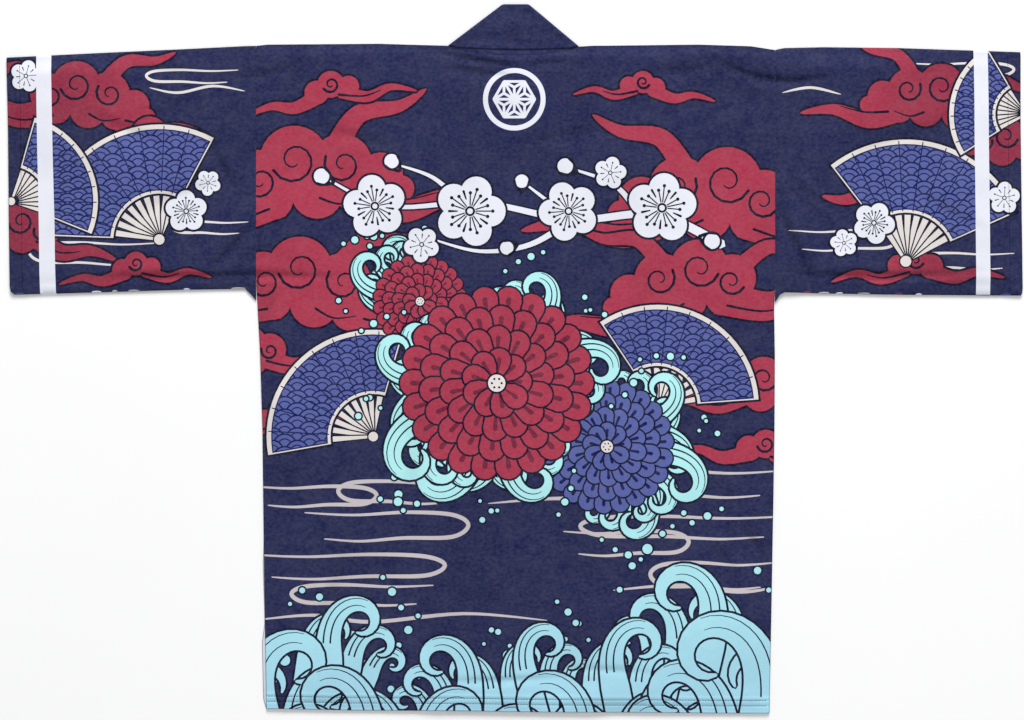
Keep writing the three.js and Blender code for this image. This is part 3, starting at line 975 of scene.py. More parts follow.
def triangulate(loop, pairs, points):
    """Triangles that fill a loop and follow every edge pair. The loop's points come first."""
    n = len(loop)
    coords = np.concatenate([loop, points, pairs.reshape(-1, 2)])
    edges = [(i, (i + 1) % n) for i in range(n)]
    first = n + len(points)
    edges += [(first + 2 * i, first + 2 * i + 1) for i in range(len(pairs))]
    vectors = [Vector((float(x), float(y))) for x, y in coords]
    verts, _, faces, origins, _, _ = delaunay_2d_cdt(vectors, edges, [], 1, 1e-3)
    order = np.full(len(verts), -1)
    for index, sources in enumerate(origins):
        for source in sources:
            if source < n:
                order[index] = source
    rest = np.flatnonzero(order < 0)
    order[rest] = n + np.arange(len(rest))
    xy = np.zeros((len(verts), 2))
    xy[order] = [tuple(v) for v in verts]
    tris = order[np.array([f for f in faces if len(f) == 3])]
    p, q, r = (xy[tris[:, k]] for k in range(3))
    turn = (q[:, 0] - p[:, 0]) * (r[:, 1] - p[:, 1]) - (q[:, 1] - p[:, 1]) * (r[:, 0] - p[:, 0])
    tris[turn < 0] = tris[turn < 0][:, ::-1]
    return xy, tris[np.abs(turn) > 1e-9]


def loop_pairs(line):
    return np.stack([line, np.roll(line, -1, axis=0)], axis=1)


def row_pairs(x, y):
    """The edges of an open run of points."""
    line = np.column_stack([x, y])
    return np.stack([line[:-1], line[1:]], axis=1)


STEEP = 6.0                   # the steepest slope that shading follows


def slopes(height, xy, step=0.15):
    x, y = xy[:, 0], xy[:, 1]
    gx = (height(x + step, y) - height(x - step, y)) / (2 * step)
    gy = (height(x, y + step) - height(x, y - step)) / (2 * step)
    normal = np.column_stack([-np.clip(gx, -STEEP, STEEP), -np.clip(gy, -STEEP, STEEP), 0 * x + 1])
    return unit(normal)


class Shell:
    """Vertices, triangles and corner colours of one piece, gathered surface by surface."""

    def __init__(self):
        self.verts, self.normals, self.tris, self.colours = [], [], [], []
        self.count = 0

    def add_verts(self, xyz, normals):
        first = self.count
        self.verts.append(xyz)
        self.normals.append(normals)
        self.count += len(xyz)
        return np.arange(first, self.count)

    def add_faces(self, tris, colours):
        """colours is one for each corner."""
        self.tris.append(tris)
        self.colours.append(colours)

    def make(self, name, material):
        verts = np.concatenate(self.verts) * MM + [ORIGIN_X, ORIGIN_Y, 0]
        tris = np.concatenate(self.tris)
        mesh = bpy.data.meshes.new(name)
        mesh.from_pydata(verts.tolist(), [], tris.tolist(), shade_flat=False)
        colours = np.concatenate(self.colours).reshape(-1, 3)
        rgba = np.concatenate([colours, np.ones((len(colours), 1))], axis=1)
        layer = mesh.color_attributes.new(name="print", type="FLOAT_COLOR", domain="CORNER")
        layer.data.foreach_set("color", rgba.ravel())
        mesh.normals_split_custom_set_from_vertices(np.concatenate(self.normals).tolist())
        mesh.materials.append(material)
        piece = bpy.data.objects.new(name, mesh)
        bpy.context.scene.collection.objects.link(piece)
        return piece


def add_surface(shell, xy, tris, height, ids, design=None, ink="inside", up=True, well_in=None):
    """A level surface whose first vertices are the shell's own, by ids. Outside the outline well_in
    its colours are darkened with painted shade, a dark rim along the cloth's edge."""
    n = len(ids)
    z = height(xy[:, 0], xy[:, 1])
    normals = slopes(height, xy) * (1 if up else -1)
    fresh = shell.add_verts(np.column_stack([xy[n:], z[n:]]), normals[n:])
    index = np.concatenate([ids, fresh])
    faces = index[tris] if up else index[tris][:, ::-1]
    corners = xy[tris if up else tris[:, ::-1]]
    centres = corners.mean(axis=1)
    if design:
        inks = design.ink_at(centres)
    else:
        inks = np.full(len(tris), INK_NAMES.index(ink))
    colours = ink_colours(np.repeat(inks, 3), corners.reshape(-1, 2)).reshape(-1, 3, 3)
    # Painted shade: the print is darkened in the creases' troughs
    if up and design:
        colours *= painted_crease_shade(fold_height(corners[..., 0], corners[..., 1], CREASES))[..., None]
    # Painted shade: the rim outside well_in is darkened, except where the ink is white
    if well_in is not None:
        pale = inks == INK_NAMES.index("white")
        colours[~inside(centres, well_in) & ~pale] *= RIM_PAINTED_SHADE
    shell.add_faces(faces, colours)


EDGE_ROUND = 0.55             # radius of a rounded cloth edge
EDGE_RINGS = (0.1, 0.5)       # rings of vertices inside the edge that shape it
RIM, RIM_PAINTED_SHADE = 0.9, 0.5     # painted shade darkens the cloth's edge this far in, to this share of its colour
RIM_OPEN = 3.0                # how far the outline less its rim is moved out at a seam
FINE, COARSE = 4.5, 16.0      # spacing of vertices on shown and on hidden faces
CREASE_GRID = 3.3             # the same at a crease, on both


def rounding(distance, radius=EDGE_ROUND):
    """0 at the very edge, 1 a little way in, as a rounded edge rises."""
    t = np.clip(distance / radius, 0, 1)
    return np.sqrt(np.clip(1 - (1 - t) ** 2, 0, 1))


# ---------------------------------------------------------------- surfaces of the pieces
HEM_TURN = 20.0               # depth of the turned-up hem
CUFF_TURN = 17.0
HEM_ROWS = (9.0, 15.5)        # rows of stitching above the hem edge
CUFF_ROW = 15.5
NECK_ROW = 6.0                # row of stitching below the middle of the neck seam
STITCH_GROOVE = 0.3
BESIDE_ROW = (-0.8, 0.0, 0.8)  # where the mesh follows a row of stitching, at it and beside it
BESIDE_NECK = (-0.9, 0.0, 0.9)
SEAM_DIP, SEAM_REACH = 0.45, 3.0        # how the cloth dips to a seam
SEAM_CALM = 12.0              # small unevenness fades away this near the armholes
ROLL, ROLL_AT, ROLL_WIDTH = 0.7, 6.5, 4.5   # the rolled edge above a sleeve's bottom seam


def body_loop(step=4.0):
    """The outline of the back: hem, right side, shoulder and neck, left side."""
    count = int(BODY_LENGTH / step)
    fractions = np.linspace(0, 1, count + 1)
    foot = np.arange(side_edge(LEFT, 0), side_edge(RIGHT, 0), step)
    top = np.concatenate([
        np.arange(HALF[RIGHT], NECK_HALF, -step),
        np.arange(NECK_HALF, -NECK_HALF, -step),
        np.arange(-NECK_HALF, -HALF[LEFT], -step),
    ])

    def side(which, at):
        x = side_edge(which, at)
        return np.stack([x, hem(x) + (shoulder(x) - hem(x)) * at], axis=1)

    return np.concatenate([
        np.stack([foot, hem(foot)], axis=1),
        side(RIGHT, fractions[:-1]),
        np.stack([top, shoulder(top)], axis=1),
        side(LEFT, fractions[:0:-1]),
    ])


def front_edge(side, at):
    """A front's outer edge: the left one comes a little past the back's."""
    past = np.interp(at, FRONT_PEEP["at"], FRONT_PEEP["out"])
    return side_edge(side, at) + side * past * (side == LEFT)


def front_loop(side, step=5.0):
    count = int(BODY_LENGTH / step)
    at = np.linspace(0, 1, count + 1)
    outer = front_edge(side, at)
    inner_x = side * (NECK_HALF + GAP)
    foot = np.linspace(inner_x, outer[0], 46)
    top = np.linspace(outer[-1], inner_x, 46)
    inner_y = hem(inner_x) + (shoulder(inner_x) - hem(inner_x)) * (1 - at)
    loop = np.concatenate([
        np.stack([foot[:-1], hem(foot[:-1])], axis=1),
        np.stack([outer, hem(outer) + (shoulder(outer) - hem(outer)) * at], axis=1)[:-1],
        np.stack([top[:-1], shoulder(top[:-1])], axis=1),
        np.stack([0 * at + inner_x, inner_y], axis=1)[:-1],
    ])
    return loop if signed_area(loop) > 0 else loop[::-1]


def edge_normals(loop):
    before = loop - np.roll(loop, 1, axis=0)
    after = np.roll(loop, -1, axis=0) - loop
    tangent = before + after
    normal = np.column_stack([tangent[:, 1], -tangent[:, 0], np.zeros(len(loop))])
    return unit(normal)


def rim_inside(loop, open_by):
    """The outline less its rim of painted shade, which its seams don't have: there it moves outwards."""
    inner = grow(loop, -RIM)
    side = np.sign(inner[:, 0])
    half = np.where(side > 0, HALF[RIGHT], HALF[LEFT])
    at_armhole = (np.abs(np.abs(inner[:, 0]) - half) < 2) & (inner[:, 1] > BODY_LENGTH - SLEEVE_DEPTH)
    inner[:, 0] += np.where(at_armhole, side * open_by, 0)
    at_neck = (np.abs(inner[:, 0]) < NECK_HALF) & (inner[:, 1] > BODY_LENGTH - 2 * NECK_DROP)
    inner[:, 1] += np.where(at_neck, open_by, 0)
    return inner


def flat_piece(name, loop, top, bottom, material, lines=(), points=grid_points,
               top_print=None, bottom_print=None):
    """A closed thin shell on one outline. top and bottom give the levels of its two faces."""
    shell = Shell()
    rings = [loop_pairs(grow(loop, -ring)) for ring in EDGE_RINGS + (RIM,)]
    region = grow(loop, -EDGE_RINGS[-1])
    well_in = rim_inside(loop, RIM_OPEN)
    edge_z = 0.5 * (top(loop[:, 0], loop[:, 1]) + bottom(loop[:, 0], loop[:, 1]))
    ids = shell.add_verts(np.column_stack([loop, edge_z]), edge_normals(loop))
    for height, design, up in ((top, top_print, True), (bottom, bottom_print, False)):
        pairs = list(rings)
        spacing = COARSE
        if design:
            spacing = FINE
            pairs.append(design.edges(region))
        if up:
            pairs += [np.stack(trimmed(p[:, 0], p[:, 1], region), axis=1) for p in lines]
        xy, tris = triangulate(loop, np.concatenate(pairs), points(loop, spacing))
        add_surface(shell, xy, tris, height, ids, design, up=up, well_in=well_in)
    return shell.make(name, material)


def seam_dip(distance, depth, reach):
    return -depth * np.exp(-(np.maximum(distance, 0) / reach) ** 1.6)


def hem_profile(distance, turn, rows):
    """A turned hem: a second layer's step, and a groove along each row of stitching."""
    step = 0.45 * (1 - smooth_step((distance - turn + 1.5) / 3.0))
    for row in rows:
        step = step - STITCH_GROOVE * bell(distance - row, 0.8)
    return step


RIPPLE = ((61, 17, 0.3, 0.08), (-23, 47, 1.9, 0.08), (35, -39, 4.1, 0.07), (97, 71, 2.2, 0.05),
          (-83, 113, 0.7, 0.05), (143, -59, 5.2, 0.035), (31, 167, 3.3, 0.035))


def ripple(x, y):
    """The small unevenness of cloth that has been folded and smoothed by hand."""
    return waves_of(RIPPLE, x, y)


def puckers(distance, along, reach=9.0, size=0.16):
    """Short gathers that cross a seam, fading away from it."""
    beat = np.sin(along / 2.9 + 1.6 * np.sin(along / 17)) * (0.6 + 0.4 * np.sin(along / 23 + 1))
    return size * beat * bell(distance, reach)


# ---------------------------------------------------------------- body
def body_edges(x, y):
    """Distances from a point of the body to its hem, its shoulder and its left and right sides."""
    at = height_share(x, y)
    return y - hem(x), shoulder(x) - y, x - side_edge(LEFT, at), side_edge(RIGHT, at) - x


def back_round(x, y):
    return rounding(reduce(np.minimum, body_edges(x, y)))


def neck_row(x):
    """The row of stitching below the neck seam, which runs into it at the collar's corners."""
    return shoulder(x) - 1.5 - NECK_ROW * (1 - np.clip(x / NECK_HALF, -1, 1) ** 2)


def back_top(x, y):
    foot, top, left, right = body_edges(x, y)
    near_side = np.minimum(left, right)
    lift = hem_profile(foot, HEM_TURN, HEM_ROWS)
    lift = lift + seam_dip(near_side, SEAM_DIP, SEAM_REACH) + seam_dip(top, 0.35, 4.0)
    lift = lift + puckers(near_side, y) * (y > BODY_LENGTH - SLEEVE_DEPTH)
    groove = bell(y - neck_row(x), 0.9) * (np.abs(x) < NECK_HALF)
    lift = lift - STITCH_GROOVE * groove + ripple(x, y) * smooth_step(near_side / SEAM_CALM)
    thickness = np.maximum(CLOTH / 2 + lift, 0.15)
    return upper_floor(x, y) + CLOTH / 2 + thickness * back_round(x, y)


def back_bottom(x, y):
    return upper_floor(x, y) + CLOTH / 2 * (1 - back_round(x, y))


def make_back(material):
    xs = np.linspace(-HALF[LEFT], HALF[RIGHT], 150)
    lines = [row_pairs(xs, hem(xs) + row + beside)
             for row in HEM_ROWS + (HEM_TURN,) for beside in BESIDE_ROW]
    xs = np.linspace(4 - NECK_HALF, NECK_HALF - 4, 50)
    lines += [row_pairs(xs, neck_row(xs) + beside) for beside in BESIDE_NECK]
    return flat_piece("back_cloth", body_loop(), back_top, back_bottom, material, lines,
                      cloth_points, top_print=back_print())


def make_front(side, material):
    def round_off(x, y):
        across = side * (front_edge(side, height_share(x, y)) - x), side * x - NECK_HALF - GAP
        return rounding(reduce(np.minimum, (y - hem(x), shoulder(x) - y, *across)))

    def top(x, y):
        return CLOTH / 2 * (1 + round_off(x, y))

    def bottom(x, y):
        return CLOTH / 2 * (1 - round_off(x, y))

    return flat_piece(f"front_{SIDE_NAME[side]}_cloth", front_loop(side), top, bottom, material,
                      bottom_print=front_print(side))


# ---------------------------------------------------------------- sleeves
SLEEVE_STEP = 4.0
FOLD_LEVEL = (CLOTH + LAYER) / 2
TURN_RADIUS = 1.3             # of the cloth where it turns over at the sleeve's fold and seam
TURN_RINGS = (0.12, 0.45)     # rings of vertices that shape this turn


def sleeve_outline(side, inset=0.0):
    """The outline of the flat sleeve, inset at its fold and seam, and where its corners are."""
    even = np.linspace(0, 1, int(SLEEVE_LENGTH / SLEEVE_STEP) + 1)
    along = np.unique(np.concatenate([even, [0.005, 0.02, 0.03, 0.045]]))
    even = np.linspace(0, 1, int(SLEEVE_DEPTH / SLEEVE_STEP) + 1)
    depth = np.unique(np.concatenate([even, [0.006, 0.02, 0.035]]))
    low, high = inset / SLEEVE_DEPTH, 1 - inset / SLEEVE_DEPTH
    inner = low + (high - low) * depth
    loop = np.concatenate([
        sleeve_place(side, along[:-1], low),
        sleeve_place(side, 1.0, inner[:-1]),
        sleeve_place(side, along[:0:-1], high),
        sleeve_place(side, 0.0, inner[:0:-1]),
    ])
    n, m = len(along) - 1, len(depth) - 1
    corners = [0, n, n + m, 2 * n + m]
    if side == LEFT:
        loop = loop[::-1]
        corners = sorted(len(loop) - 1 - c for c in corners)
    return loop, corners


def sleeve_top(side, x, y):
    at = sleeve_coords(side, x, y)
    away = smooth_step(at["armhole"] / 40)
    lift = hem_profile(at["cuff"], CUFF_TURN, (CUFF_ROW,))
    lift = lift + seam_dip(at["armhole"], SEAM_DIP, SEAM_REACH) + puckers(at["armhole"], y)
    lift = lift + ROLL * bell(at["seam"] - ROLL_AT, ROLL_WIDTH) * away
    lift = lift + ripple(x, y) * smooth_step(at["armhole"] / SEAM_CALM)
    rise = rounding(np.minimum(at["seam"], at["fold"]), TURN_RADIUS)
    full = upper_floor(x, y) + np.maximum(CLOTH + lift, 0.4)
    return FOLD_LEVEL + (full - FOLD_LEVEL) * rise


def make_sleeve(side, material):
    outer_loop, corners = sleeve_outline(side)
    inner_loop, _ = sleeve_outline(side, inset=CLOTH)
    n = len(outer_loop)

    def upper(x, y):
        return sleeve_top(side, x, y)

    def lower(x, y):
        at = sleeve_coords(side, x, y)
        return FOLD_LEVEL * (1 - rounding(np.minimum(at["seam"], at["fold"]), TURN_RADIUS))

    def inner_round(x, y):
        at = sleeve_coords(side, x, y)
        return rounding(np.minimum(at["seam"], at["fold"]) - CLOTH, 1.0)

    def upper_inside(x, y):
        return FOLD_LEVEL + (upper_floor(x, y) - FOLD_LEVEL) * inner_round(x, y)

    def lower_inside(x, y):
        return FOLD_LEVEL - (FOLD_LEVEL - CLOTH) * inner_round(x, y)

    # The outline's four stretches: two are folds, where the cloth turns over, and two are open
    spans = []
    for a, b in zip(corners, corners[1:] + corners[:1]):
        span = np.arange(a, b + 1 if b > a else b + n + 1) % n
        is_fold = abs(outer_loop[span[-1]][0] - outer_loop[span[0]][0]) > SLEEVE_LENGTH / 2
        spans.append((span, is_fold))
    shared = np.zeros(n, bool)
    for span, is_fold in spans:
        shared[span] |= is_fold

    shell = Shell()

    def loop_ids(loop, height, twin, turned):
        """Vertices of an outline, which has those on the folds in common with its twin."""
        ids = np.full(n, -1)
        fresh = np.ones(n, bool) if twin is None else ~shared
        xyz = np.column_stack([loop, height(loop[:, 0], loop[:, 1])])
        ids[fresh] = shell.add_verts(xyz[fresh], turned[fresh])
        if twin is not None:
            ids[shared] = twin[shared]
        return ids

    outward = edge_normals(outer_loop)
    up_turned = np.where(shared[:, None], outward, [0.0, 0.0, 1.0])
    down_turned = np.where(shared[:, None], outward, [0.0, 0.0, -1.0])
    upper_ids = loop_ids(outer_loop, upper, None, up_turned)
    lower_ids = loop_ids(outer_loop, lower, upper_ids, down_turned)
    upper_in = loop_ids(inner_loop, upper_inside, None, -up_turned)
    lower_in = loop_ids(inner_loop, lower_inside, upper_in, -down_turned)

    turns = [loop_pairs(grow(outer_loop, -ring)) for ring in TURN_RINGS + (RIM,)]
    region = grow(outer_loop, -TURN_RINGS[-1])
    well_in = rim_inside(outer_loop, -RIM_OPEN)
    depth = np.linspace(0.01, 0.99, 80)
    cuff_lines = [row_pairs(*sleeve_place(side, 1 - (row + beside) / SLEEVE_LENGTH, depth).T)
                  for row in (CUFF_ROW, CUFF_TURN) for beside in BESIDE_ROW]
    for height, ids, design, up in ((upper, upper_ids, sleeve_print(side), True),
                                    (lower, lower_ids, sleeve_under_print(side), False)):
        pairs = turns + [design.edges(region)] + (cuff_lines if up else [])
        points = cloth_points(outer_loop, FINE) if up else grid_points(outer_loop, COARSE)
        xy, tris = triangulate(outer_loop, np.concatenate(pairs), points)
        add_surface(shell, xy, tris, height, ids, design, up=up, well_in=well_in)
    for height, ids, up in ((upper_inside, upper_in, False), (lower_inside, lower_in, True)):
        pairs = loop_pairs(grow(inner_loop, -1.0))
        points = grid_points(inner_loop, COARSE) if up else cloth_points(inner_loop, COARSE)
        xy, tris = triangulate(inner_loop, pairs, points)
        add_surface(shell, xy, tris, height, ids, up=up)

    # Rims of the cuff and the armhole
    for outer_ids, inner_ids, flip in ((upper_ids, upper_in, False), (lower_ids, lower_in, True)):
        for span in (span for span, is_fold in spans if not is_fold):
            p, q = outer_ids[span], inner_ids[span]
            quads = np.stack([p[:-1], p[1:], q[1:], q[:-1]], axis=1)
            tris = np.concatenate([quads[:, [0, 1, 2]], quads[:, [0, 2, 3]]])
            tris = tris[:, ::-1] if not flip else tris
            shell.add_faces(tris, np.broadcast_to(INKS["navy"], (len(tris), 3, 3)))
    return shell.make(f"sleeve_{SIDE_NAME[side]}_cloth", material)


# ---------------------------------------------------------------- collar
def tube_tris(count, rings):
    """Triangles of a closed tube of rings of vertices, each of this count, with its ends capped."""
    a = np.arange((rings - 1) * count)
    b = a - a % count + (a + 1) % count
    k = np.arange(1, count - 1)
    last = (rings - 1) * count
    return np.concatenate([
        np.column_stack([a, b, b + count]),
        np.column_stack([a, b + count, a + count]),
        np.column_stack([0 * k, k + 1, k]),
        np.column_stack([0 * k + last, last + k, last + k + 1]),
    ])


def collar_stations():
    """The collar strip from hem to hem, by its two edges. Round each slanting fold at a shoulder
    the edges are corners and the ways they run on, for a depth in from the fold."""
    stations = []
    for side in (LEFT, RIGHT):
        seam_corner = np.array([side * NECK_HALF, float(shoulder(side * NECK_HALF))])
        top_corner = np.array([COLLAR_SKEW + side * COLLAR_TOP_HALF, BODY_LENGTH + COLLAR_RISE])
        free_corner = np.array([side * BAND_FREE, BODY_LENGTH])
        fold = (top_corner - seam_corner) / np.linalg.norm(top_corner - seam_corner)
        inward = np.array([-side * abs(fold[1]), -abs(fold[0])])
        under_free = (free_corner - top_corner) / np.linalg.norm(free_corner - top_corner)
        hem_free, hem_seam = float(hem(side * BAND_FREE)), float(hem(side * NECK_HALF))
        half = []
        for at in np.linspace(0, 1, 60):
            free_y = hem_free + (BODY_LENGTH - hem_free) * at
            seam_y = hem_seam + (BODY_LENGTH - FOLD_ROOM - hem_seam) * at
            half.append(dict(free=np.array([side * BAND_FREE, free_y]),
                             seam=np.array([side * NECK_HALF, seam_y]), turn=-90.0))
        for turn in np.linspace(-90, 90, 13):
            run_free = under_free if turn < 0 else np.array([-side, 0.0])
            run_seam = np.array([0.0, -1.0]) if turn < 0 else np.array([-side, 0.0])
            half.append(dict(free=top_corner, seam=seam_corner, turn=float(turn),
                             run_free=run_free / (inward @ run_free),
                             run_seam=run_seam / (inward @ run_seam)))
        if side == RIGHT:
            stations += half[::-1]
            continue
        stations += half
        for across in np.linspace(-0.86, 0.86, 60):
            seam_x = across * NECK_HALF
            stations.append(dict(
                free=np.array([COLLAR_SKEW + across * COLLAR_TOP_HALF, BODY_LENGTH + COLLAR_RISE]),
                seam=np.array([seam_x, float(shoulder(seam_x)) + GAP - NECK_LAP]), turn=90.0))
    return stations


# Folds of the collar above its seam, in the columns of CREASES, with y measured from the seam
COLLAR_FOLDS = [
    (-34, 12, 8, 84, -3.0, 4, 5, -1.3),
    (46, 15, -24, 58, 2.0, 4, 5, -1.2),
    (8, 7, -2, 110, -2.0, 3, 4, -0.9),
    (2, 27, 3, 80, 0.0, 10, 9, 1.3),
    (16, 34, 72, 34, 0.0, 5, 5, -0.6),
]


def collar_lift(x, y):
    """How the collar's folds raise or lower it, with its soft unevenness."""
    seam = BODY_LENGTH - NECK_DROP * (1 - np.clip(x / NECK_HALF, -1, 1) ** 2)
    return fold_height(x, y - seam, COLLAR_FOLDS) + 1.3 * ripple(x * 1.6, y * 1.6)


BAND_ROUND = 0.022            # the part of the band's width over which its edges are rounded


def make_collar(material):
    """A strip folded double: a flat closed section carried along its run. The section's points
    are how far across the strip they lie, from 0 to 1, and on which skin, from -1 to 1."""
    across = np.concatenate([[0.0, 0.004, 0.012, BAND_ROUND], np.linspace(0.045, 0.955, 24),
                             [1 - BAND_ROUND, 0.988, 0.996, 1.0]])
    edge = np.clip(np.minimum(across, 1 - across) / BAND_ROUND, 0, 1)
    skin = np.sqrt(1 - (1 - edge) ** 2)
    section = np.concatenate([np.column_stack([across, skin]),
                              np.column_stack([across[-2:0:-1], -skin[-2:0:-1]])])
    count = len(section)
    middle = BAND + GAP / 2
    radius = GAP / 2 + BAND / 2 * (1 + section[:, 1])
    rings = []
    for station in collar_stations():
        angle = math.radians(station["turn"])
        free, seam = station["free"], station["seam"]
        if "run_free" in station:
            depth = (middle - radius * math.cos(angle))[:, None]
            free = free + depth * station["run_free"]
            seam = seam + depth * station["run_seam"]
        xy = free + (seam - free) * section[:, :1]
        z = middle + radius * math.sin(angle)
        on_top = (station["turn"] == 90) & (section[:, 1] > 0)
        z = z + np.where(on_top, collar_lift(xy[:, 0], xy[:, 1]) * section[:, 1], 0)
        rings.append(np.column_stack([xy, z]))
    verts = np.concatenate(rings)

    tris = tube_tris(count, len(rings))
    p, q, r = (verts[tris[:, k]] for k in range(3))
    if np.einsum("ij,ij->", p, np.cross(q, r)) < 0:
        tris = tris[:, ::-1]
        p, r = r, p
    turned = np.cross(q - p, r - p)
    normals = np.zeros_like(verts)
    for k in range(3):
        np.add.at(normals, tris[:, k], turned)
    shell = Shell()
    shell.add_verts(verts, unit(normals))
    # Painted shade: the collar's top skin is darkened in its fold troughs
    folds = collar_lift(verts[:, 0], verts[:, 1]) * (verts[:, 2] > middle + BAND)
    shell.add_faces(tris, INKS["navy"] * painted_crease_shade(folds)[tris][..., None])
    return shell.make("collar_band", material)


# ---------------------------------------------------------------- thread
STITCH_PITCH, STITCH_LENGTH, THREAD = 3.4, 2.6, 0.5


def make_stitches(name, path, height, material):
    """A row of machine stitches along a path, each a short rounded bead sunk in the cloth."""
    path = np.asarray(path, float)
    run = np.concatenate([[0], np.cumsum(np.linalg.norm(np.diff(path, axis=0), axis=1))])
    starts = np.arange(1.0, run[-1] - STITCH_LENGTH, STITCH_PITCH)
    part, share = np.array([(0.0, 0.3), (0.14, 0.85), (0.5, 1.0), (0.86, 0.85), (1.0, 0.3)]).T
    at = starts[:, None] + part * STITCH_LENGTH
    x, y = np.interp(at, run, path[:, 0]), np.interp(at, run, path[:, 1])
    z = height(x.ravel(), y.ravel()).reshape(x.shape) + 0.15 * THREAD * np.sin(math.pi * part)
    along = np.stack([x[:, -1] - x[:, 0], y[:, -1] - y[:, 0]], axis=1) / STITCH_LENGTH
    across = np.column_stack([along[:, 1], -along[:, 0], 0 * starts])
    sides = 6
    ring = np.radians(np.arange(sides) * 360 / sides)[:, None]
    turned = np.cos(ring) * across[:, None, :] + np.sin(ring) * [0, 0, 1]
    spokes = (THREAD / 2 * share)[:, None, None] * turned[:, None]
    verts = np.stack([x, y, z], axis=2)[:, :, None] + spokes

    bead = tube_tris(sides, len(part))
    tris = (bead + len(part) * sides * np.arange(len(starts))[:, None, None]).reshape(-1, 3)
    shell = Shell()
    shell.add_verts(verts.reshape(-1, 3), np.broadcast_to(turned[:, None], verts.shape).reshape(-1, 3))
    shell.add_faces(tris, np.broadcast_to(INKS["thread"], (len(tris), 3, 3)))
    return shell.make(name, material)


def make_threads(material):
    threads = {}
    xs = np.linspace(side_edge(LEFT, 0) + 1, side_edge(RIGHT, 0) - 1, 260)
    for number, row in enumerate(HEM_ROWS, 1):
        name = f"thread_hem_{number}"
        threads[name] = make_stitches(name, np.stack([xs, hem(xs) + row], axis=1), back_top, material)
    xs = np.linspace(4 - NECK_HALF, NECK_HALF - 4, 80)
    threads["thread_neck"] = make_stitches("thread_neck", np.stack([xs, neck_row(xs)], axis=1),
                                           back_top, material)
    depth = np.linspace(0.008, 0.992, 90)
    for side, name in ((LEFT, "thread_cuff_left"), (RIGHT, "thread_cuff_right")):
        path = sleeve_place(side, 1 - CUFF_ROW / SLEEVE_LENGTH, depth)
        threads[name] = make_stitches(name, path, lambda x, y, s=side: sleeve_top(s, x, y), material)
    return threads


# ---------------------------------------------------------------- materials
SLUB, PATCH = 0.0115, 0.006   # how much paler or darker the cloth's slubs and patches are
WARP, WEFT = 0.00085, 0.00085 * 1.07    # metres from yarn to yarn


class Nodes:
    """A material's node tree, with short ways to add nodes and join them."""

    def __init__(self, name):
        self.material = bpy.data.materials.new(name)
        self.material.use_nodes = True
        self.tree = self.material.node_tree
        self.shader = self.tree.nodes["Principled BSDF"]
        self.place = self.add("ShaderNodeTexCoord").outputs["Object"]
        self.ink = self.add("ShaderNodeAttribute", attribute_name="print").outputs["Color"]

    def put(self, node, sockets):
        """Fill a node's input sockets, each with a value or with another node's output."""
        for socket, value in sockets.items():
            if isinstance(value, bpy.types.NodeSocket):
                self.tree.links.new(value, node.inputs[socket])
            else:
                node.inputs[socket].default_value = value

    def add(self, kind, sockets=None, **settings):
        node = self.tree.nodes.new(kind)
        for key, value in settings.items():
            setattr(node, key, value)
        self.put(node, sockets or {})
        return node

    def noise(self, scale, detail=2.0, stretch=None):
        place = self.place
        if stretch:
            place = self.add("ShaderNodeMapping", {"Vector": place, "Scale": stretch}).outputs["Vector"]
        sockets = {"Vector": place, "Scale": scale, "Detail": detail}
        return self.add("ShaderNodeTexNoise", sockets).outputs["Fac"]

    def bands(self, pitch, direction):
        """Threads side by side, this far apart in metres."""
        sockets = {"Vector": self.place, "Scale": 2 * math.pi / (20 * pitch), "Distortion": 0.6}
        return self.add("ShaderNodeTexWave", sockets, bands_direction=direction).outputs["Fac"]

    def spread(self, value, low, high, from_low=0.3, from_high=0.7):
        sockets = {"Value": value, "From Min": from_low, "From Max": from_high, "To Min": low, "To Max": high}
        return self.add("ShaderNodeMapRange", sockets).outputs["Result"]

    def maths(self, operation, a, b):
        return self.add("ShaderNodeMath", {0: a, 1: b}, operation=operation).outputs["Value"]

    def scaled(self, colour, value):
        sockets = {0: colour, "Scale": value}
        return self.add("ShaderNodeVectorMath", sockets, operation="SCALE").outputs["Vector"]

    def bump(self, height, strength, distance):
        sockets = {"Height": height, "Strength": strength, "Distance": distance}
        return self.add("ShaderNodeBump", sockets).outputs["Normal"]

    def finished(self, sockets):
        self.put(self.shader, sockets)
        return self.material


def cloth_material(name, mottling):
    """Printed cloth: a plain weave under the ink, with pale slubs that show most where it is dark."""
    n = Nodes(name)
    weave = n.maths("ADD", n.maths("MULTIPLY", n.bands(WARP, "X"), 0.5),
                    n.maths("MULTIPLY", n.bands(WEFT, "Y"), 0.5))
    slub = n.noise(300, 4.0, (0.75, 1, 1))
    patches = n.noise(56, 3.0, (0.8, 1, 1))
    shade = n.maths("MULTIPLY", n.spread(n.noise(9, 3.0), 1 - mottling, 1 + mottling),
                    n.spread(weave, 0.96, 1.03, 0.2, 0.8))
    pale = n.maths("ADD", n.spread(slub, -SLUB, SLUB), n.spread(patches, -PATCH, PATCH))
    heather = n.add("ShaderNodeVectorMath", {0: n.scaled(n.ink, shade), 1: pale}, operation="ADD")
    return n.finished({
        "Base Color": heather.outputs["Vector"],
        "Roughness": n.spread(n.noise(120), 0.8, 0.95),
        "Normal": n.bump(n.maths("ADD", weave, n.maths("MULTIPLY", slub, 0.6)), 0.35, 0.00022),
        "Specular IOR Level": 0.2,
        "Sheen Weight": 0.1,
        "Sheen Roughness": 0.5,
        "Sheen Tint": (0.72, 0.76, 0.9, 1),
    })


def thread_material():
    """Polyester thread: fine twist, a little glossier than the cloth."""
    n = Nodes("thread")
    twist = n.noise(2600, 1.0, (1, 0.5, 1))
    return n.finished({
        "Base Color": n.scaled(n.ink, n.spread(twist, 0.8, 1.3)),
        "Roughness": n.spread(twist, 0.5, 0.7),
        "Normal": n.bump(twist, 0.4, 0.0001),
    })


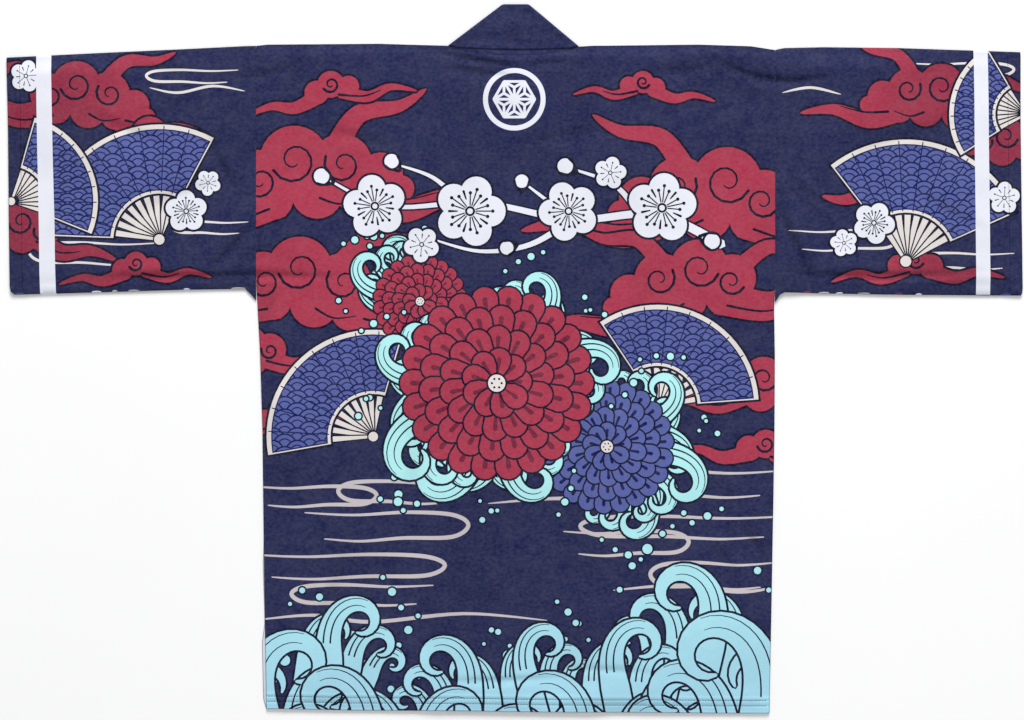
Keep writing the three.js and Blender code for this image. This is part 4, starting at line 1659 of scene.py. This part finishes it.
def floor_material():
    n = Nodes("pale_floor")
    return n.finished({
        "Base Color": n.spread(n.noise(3), 0.95 * 0.985, 0.95),
        "Roughness": 0.9,
        "Specular IOR Level": 0.1,
    })


# ---------------------------------------------------------------- the coat
printed = cloth_material("printed_cotton", mottling=0.07)
collar_cotton = cloth_material("collar_cotton", mottling=0.08)
thread = thread_material()

back = make_back(printed)
front_left, front_right = make_front(LEFT, printed), make_front(RIGHT, printed)
sleeve_left, sleeve_right = make_sleeve(LEFT, printed), make_sleeve(RIGHT, printed)
collar = make_collar(collar_cotton)
threads = make_threads(thread)

PIECES = (
    (back, "back_panel", "printed_cloth"),
    (front_left, "front_left", "printed_cloth"),
    (front_right, "front_right", "printed_cloth"),
    (sleeve_left, "sleeve_left", "printed_cloth"),
    (sleeve_right, "sleeve_right", "printed_cloth"),
    (collar, "collar", "collar_cloth"),
)
for piece, node, finish in PIECES:
    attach(piece, "root")
    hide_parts(node)
for stitches in threads.values():
    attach(stitches, "root")


def plan_area(loop):
    return abs(signed_area(loop)) * MM * MM


plan_area(body_loop())

# ---------------------------------------------------------------- floor, light and camera
FLOOR_HALF = 4.0
floor_mesh = bpy.data.meshes.new("floor")
corners = [(x * FLOOR_HALF, y * FLOOR_HALF, 0) for x, y in ((-1, -1), (1, -1), (1, 1), (-1, 1))]
floor_mesh.from_pydata(corners, [], [(0, 1, 2, 3)])
floor_mesh.materials.append(floor_material())
floor = bpy.data.objects.new("floor", floor_mesh)
bpy.context.scene.collection.objects.link(floor)

world = bpy.data.worlds.new("studio")
world.use_nodes = True
background = world.node_tree.nodes["Background"]
background.inputs["Color"].default_value = (0.97, 0.98, 1.0, 1)
background.inputs["Strength"].default_value = 0.5
bpy.context.scene.world = world


def softbox(name, place, size, power, colour=(1.0, 1.0, 1.0)):
    """A square area light aimed at the middle of the coat."""
    light = bpy.data.lights.new(name, "AREA")
    light.shape = "SQUARE"
    light.size = size
    light.energy = power
    light.color = colour
    lamp = bpy.data.objects.new(name, light)
    lamp.location = place
    lamp.rotation_euler = (-Vector(place)).to_track_quat("-Z", "Y").to_euler()
    lamp.visible_camera = False
    bpy.context.scene.collection.objects.link(lamp)


softbox("key", (0.4, 5.4, 3.0), 2.2, 415, (1.0, 0.99, 0.975))
softbox("fill", (0.5, -2.6, 2.6), 1.6, 17, (0.96, 0.98, 1.0))

LENS, SENSOR = 85.0, 36.0
VIEW_WIDTH = 1.229
VIEW_CENTRE = (-0.003, -0.002)
camera_data = bpy.data.cameras.new("camera")
camera_data.lens = LENS
camera_data.sensor_width = SENSOR
camera = bpy.data.objects.new("camera", camera_data)
camera.location = (*VIEW_CENTRE, VIEW_WIDTH * LENS / SENSOR)
bpy.context.scene.collection.objects.link(camera)
bpy.context.scene.camera = camera
bpy.context.scene.view_settings.view_transform = "Standard"
